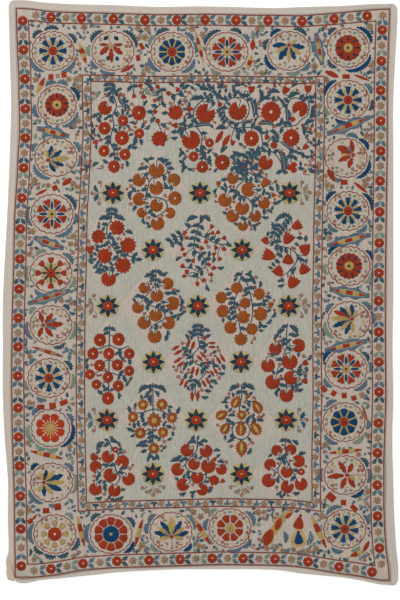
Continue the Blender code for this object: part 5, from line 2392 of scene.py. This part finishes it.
@dataclass
class EdgingStrip:
    """One plain strip of the edging, with its hem turned under along the outer edge.

    flat, its width and length in metres as it lies, is not used. hem has (place, thickness) across the
    strip, from its outer edge. The flap is the opened hem at the lower left, and corner the rounding there.
    """

    side: Side
    flat: tuple
    cell: float = 9.0
    settling: int = 5
    width: float = 29.0
    hem: Rows = ((0.0, 1.2), (0.8, 1.9), (2.4, 2.2), (9.0, 2.2), (11.6, 1.2), (27.0, 1.2), (29.0, 1.0))
    hem_marks: tuple = (0.0, 0.8, 2.4, 6.0, 9.0, 10.0, 11.6)
    marks: tuple = (0.5, 0.62, 0.75, 0.88, 0.96, 1.0)
    corner_wide: float = 17.0
    corner_reach: float = 34.0
    loose_corner: float = 1 / 3
    notch: float = 7.0
    flap_top: tuple = (8.6, 552.5)
    flap_tip: tuple = (14.6, 576)
    flap_soft: float = 3.0
    flap_start: float = -8.0
    # The painted shadow along the crease: its width, where it starts to fade in and over how far, and where
    # it ends
    crease_shadow_wide: float = 2.6
    crease_shadow_fade: tuple = (20.0, 80.0)
    crease_shadow_end: float = 104.0

    def ends(self, off: Array, edge: Array, share: Array) -> tuple[Array, Array]:
        """Where the strip's two ends are: rounded corners on a side strip, the seams on an end one.

        Args:
            off: How far out each point is.
            edge: How far out the cloth's edge is.
            share: Where each point is across the strip, 0 at the edge and 1 at the seam.

        Returns:
            The lower or left end, and the upper or right one.
        """
        if self.side.value[1]:
            far = np.clip(1 - np.abs(off - edge) / self.corner_wide, 0.0, 1.0)
            drop = self.corner_reach * (1 - np.sqrt(1 - far**2))
            rise = drop * (self.loose_corner if self.side is Side.LEFT else 1)
            return SHAPE.line(Side.BOTTOM, off) + rise, SHAPE.line(Side.TOP, off) - drop
        notch = self.notch * (1 - share) if self.side is Side.BOTTOM else 0.0
        return (SHAPE.line(Side.LEFT, off, 1) + SEAM_GAP + notch,
                SHAPE.line(Side.RIGHT, off, 1) - SEAM_GAP)

    def grid(self) -> tuple[Array, Array, Array]:
        """The strip's grid, rows upwards and columns to the right.

        Returns:
            X, Y and the share across the strip at each point.
        """
        out, upright = self.side.value
        size = CLOTH_LENGTH if upright else CLOTH_WIDTH
        run = np.linspace(0.0, 1.0, round(size / self.cell))[:, None]
        share = np.concatenate([np.array(self.hem_marks) / self.width, self.marks])[::-out]
        share = np.broadcast_to(share, (len(run), len(share)))
        along = (run - 0.5) * size + 0 * share
        for _ in range(self.settling):
            edge, seam = SHAPE.line(self.side, along), SHAPE.line(self.side, along, 1)
            off = edge + share * (seam - edge)
            low, high = self.ends(off, edge, share)
            along = (1 - run) * low + run * high
        return (off, along, share) if upright else (along.T, off.T, share.T)

    def colours(self, x: Array, y: Array) -> Array:
        """The cloth's colour, with the yellower flap of the opened hem at the lower left, and a painted
        shadow darkening the crease along the flap.

        Args:
            x: Places across.
            y: Places along.

        Returns:
            A linear colour for each place.
        """
        colours = np.broadcast_to(Dye.COTTON.linear(), (*x.shape, 3))
        if self.side is not Side.LEFT:
            return colours
        top, tip = on_cloth((self.flap_top, self.flap_tip))
        run = (tip - top) / np.linalg.norm(tip - top)
        off = (x - top[0]) * run[1] - (y - top[1]) * run[0]
        down = (x - top[0]) * run[0] + (y - top[1]) * run[1]
        on_flap = (np.clip(off / self.flap_soft + 0.5, 0, 1) * (down > self.flap_start))[..., None]
        colours = colours + on_flap * (Dye.FLAP.linear() - colours)
        # Painted shadow: the cloth darkens towards the crease colour along the crease beside the flap,
        # fading in below the flap's top and ending lower down
        start, fade = self.crease_shadow_fade
        shade = np.exp(-((off / self.crease_shadow_wide) ** 2)) * np.clip((down - start) / fade, 0, 1)
        shade = shade * (down < self.crease_shadow_end)
        return colours + shade[..., None] * (Dye.CREASE.linear() - colours)

    def build(self) -> None:
        """Lay the strip."""
        x, y, share = self.grid()
        marks, thick = np.array(self.hem).T
        thick = np.interp(share, marks / self.width, thick)
        side = self.side.name.lower()
        lay_sheet("cloth_" + side, "edging_" + side, (x, y, thick),
                  self.colours(x, y))


@dataclass(frozen=True)
class Studio:
    """The pale floor, the soft light and the camera straight above."""

    floor_span: float = 14.0
    floor_drop: float = 0.0005
    floor_white: float = 0.95
    world: float = 0.8
    lamp_power: float = 217.0
    lamp_size: float = 6.0
    lamp_at: tuple = (-2.2, 2.6, 5.0)
    camera_at: tuple = (-0.0021, -0.0315, 5.95)
    lens: float = 85.0
    reach: float = 60.0

    def build(self) -> None:
        """Set up the floor, light, view and camera."""
        scene = bpy.context.scene
        scene.view_settings.view_transform = "Standard"
        self.floor()
        scene.world = bpy.data.worlds.new("soft studio")
        scene.world.use_nodes = True
        sky = scene.world.node_tree.nodes["Background"]
        sky.inputs["Color"].default_value = (1.0, 1.0, 1.0, 1.0)
        sky.inputs["Strength"].default_value = self.world
        lamp = bpy.data.lights.new("softbox", "AREA")
        lamp.energy, lamp.size = self.lamp_power, self.lamp_size
        softbox = self.put(lamp, self.lamp_at)
        x, y, z = self.lamp_at
        softbox.rotation_euler = (math.atan2(-y, z), math.atan2(x, math.hypot(y, z)), 0.0)
        camera = bpy.data.cameras.new("camera")
        camera.lens, camera.clip_end = self.lens, self.reach
        scene.camera = self.put(camera, self.camera_at)
        LOG.info("studio: camera %.2f m above the floor", self.camera_at[2])

    def put(self, thing: bpy.types.ID, at: tuple) -> bpy.types.Object:
        """Put a lamp or camera in the scene.

        Args:
            thing: The lamp or camera.
            at: Its place in metres.

        Returns:
            Its object.
        """
        piece = bpy.data.objects.new(thing.name, thing)
        piece.location = at
        bpy.context.scene.collection.objects.link(piece)
        return piece

    def floor(self) -> None:
        """Lay the floor just under the cloth."""
        bpy.ops.mesh.primitive_plane_add(size=self.floor_span, location=(0.0, 0.0, -self.floor_drop))
        floor = bpy.context.object
        floor.name = "floor"
        material = bpy.data.materials.new("pale floor")
        material.use_nodes = True
        shader = material.node_tree.nodes["Principled BSDF"]
        shader.inputs["Base Color"].default_value = (*(self.floor_white,) * 3, 1.0)
        shader.inputs["Roughness"].default_value = 1.0
        shader.inputs["Specular IOR Level"].default_value = 0.0
        floor.data.materials.append(material)
        floor.select_set(False)


EDGING = ((Side.LEFT, (0.027, 2.45)), (Side.RIGHT, (0.025, 2.42)), (Side.TOP, (0.027, 1.60)),
          (Side.BOTTOM, (0.013, 1.60)))

STARS = ((193, (113, 200, 289.5)), (250, (153, 242)), (306, (108, 198, 288.5)), (362, (153.5, 241)),
         (420, (107, 196, 286)), (474, (153, 241.5)))


def main() -> None:
    """Build the suzani, its studio and its camera."""
    logging.basicConfig(level=logging.INFO, format="%(message)s")
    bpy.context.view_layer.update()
    for thing in bpy.context.selected_objects:
        thing.select_set(False)
    LOG.info("frame: %d nodes", len(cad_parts))
    strips = [EdgingStrip(side, flat) for side, flat in EDGING]
    stars = [StarFlowers(down, across) for down, across in STARS]
    for part in (Panel(), *strips, Ground(), FramingLines(), GuardBorder(), InnerBorder(), *MEDALLIONS,
                 BorderFigures(), *stars, *BOUQUETS, FieldSprigs(), Studio()):
        part.build()


if __name__ == "__main__":
    main()
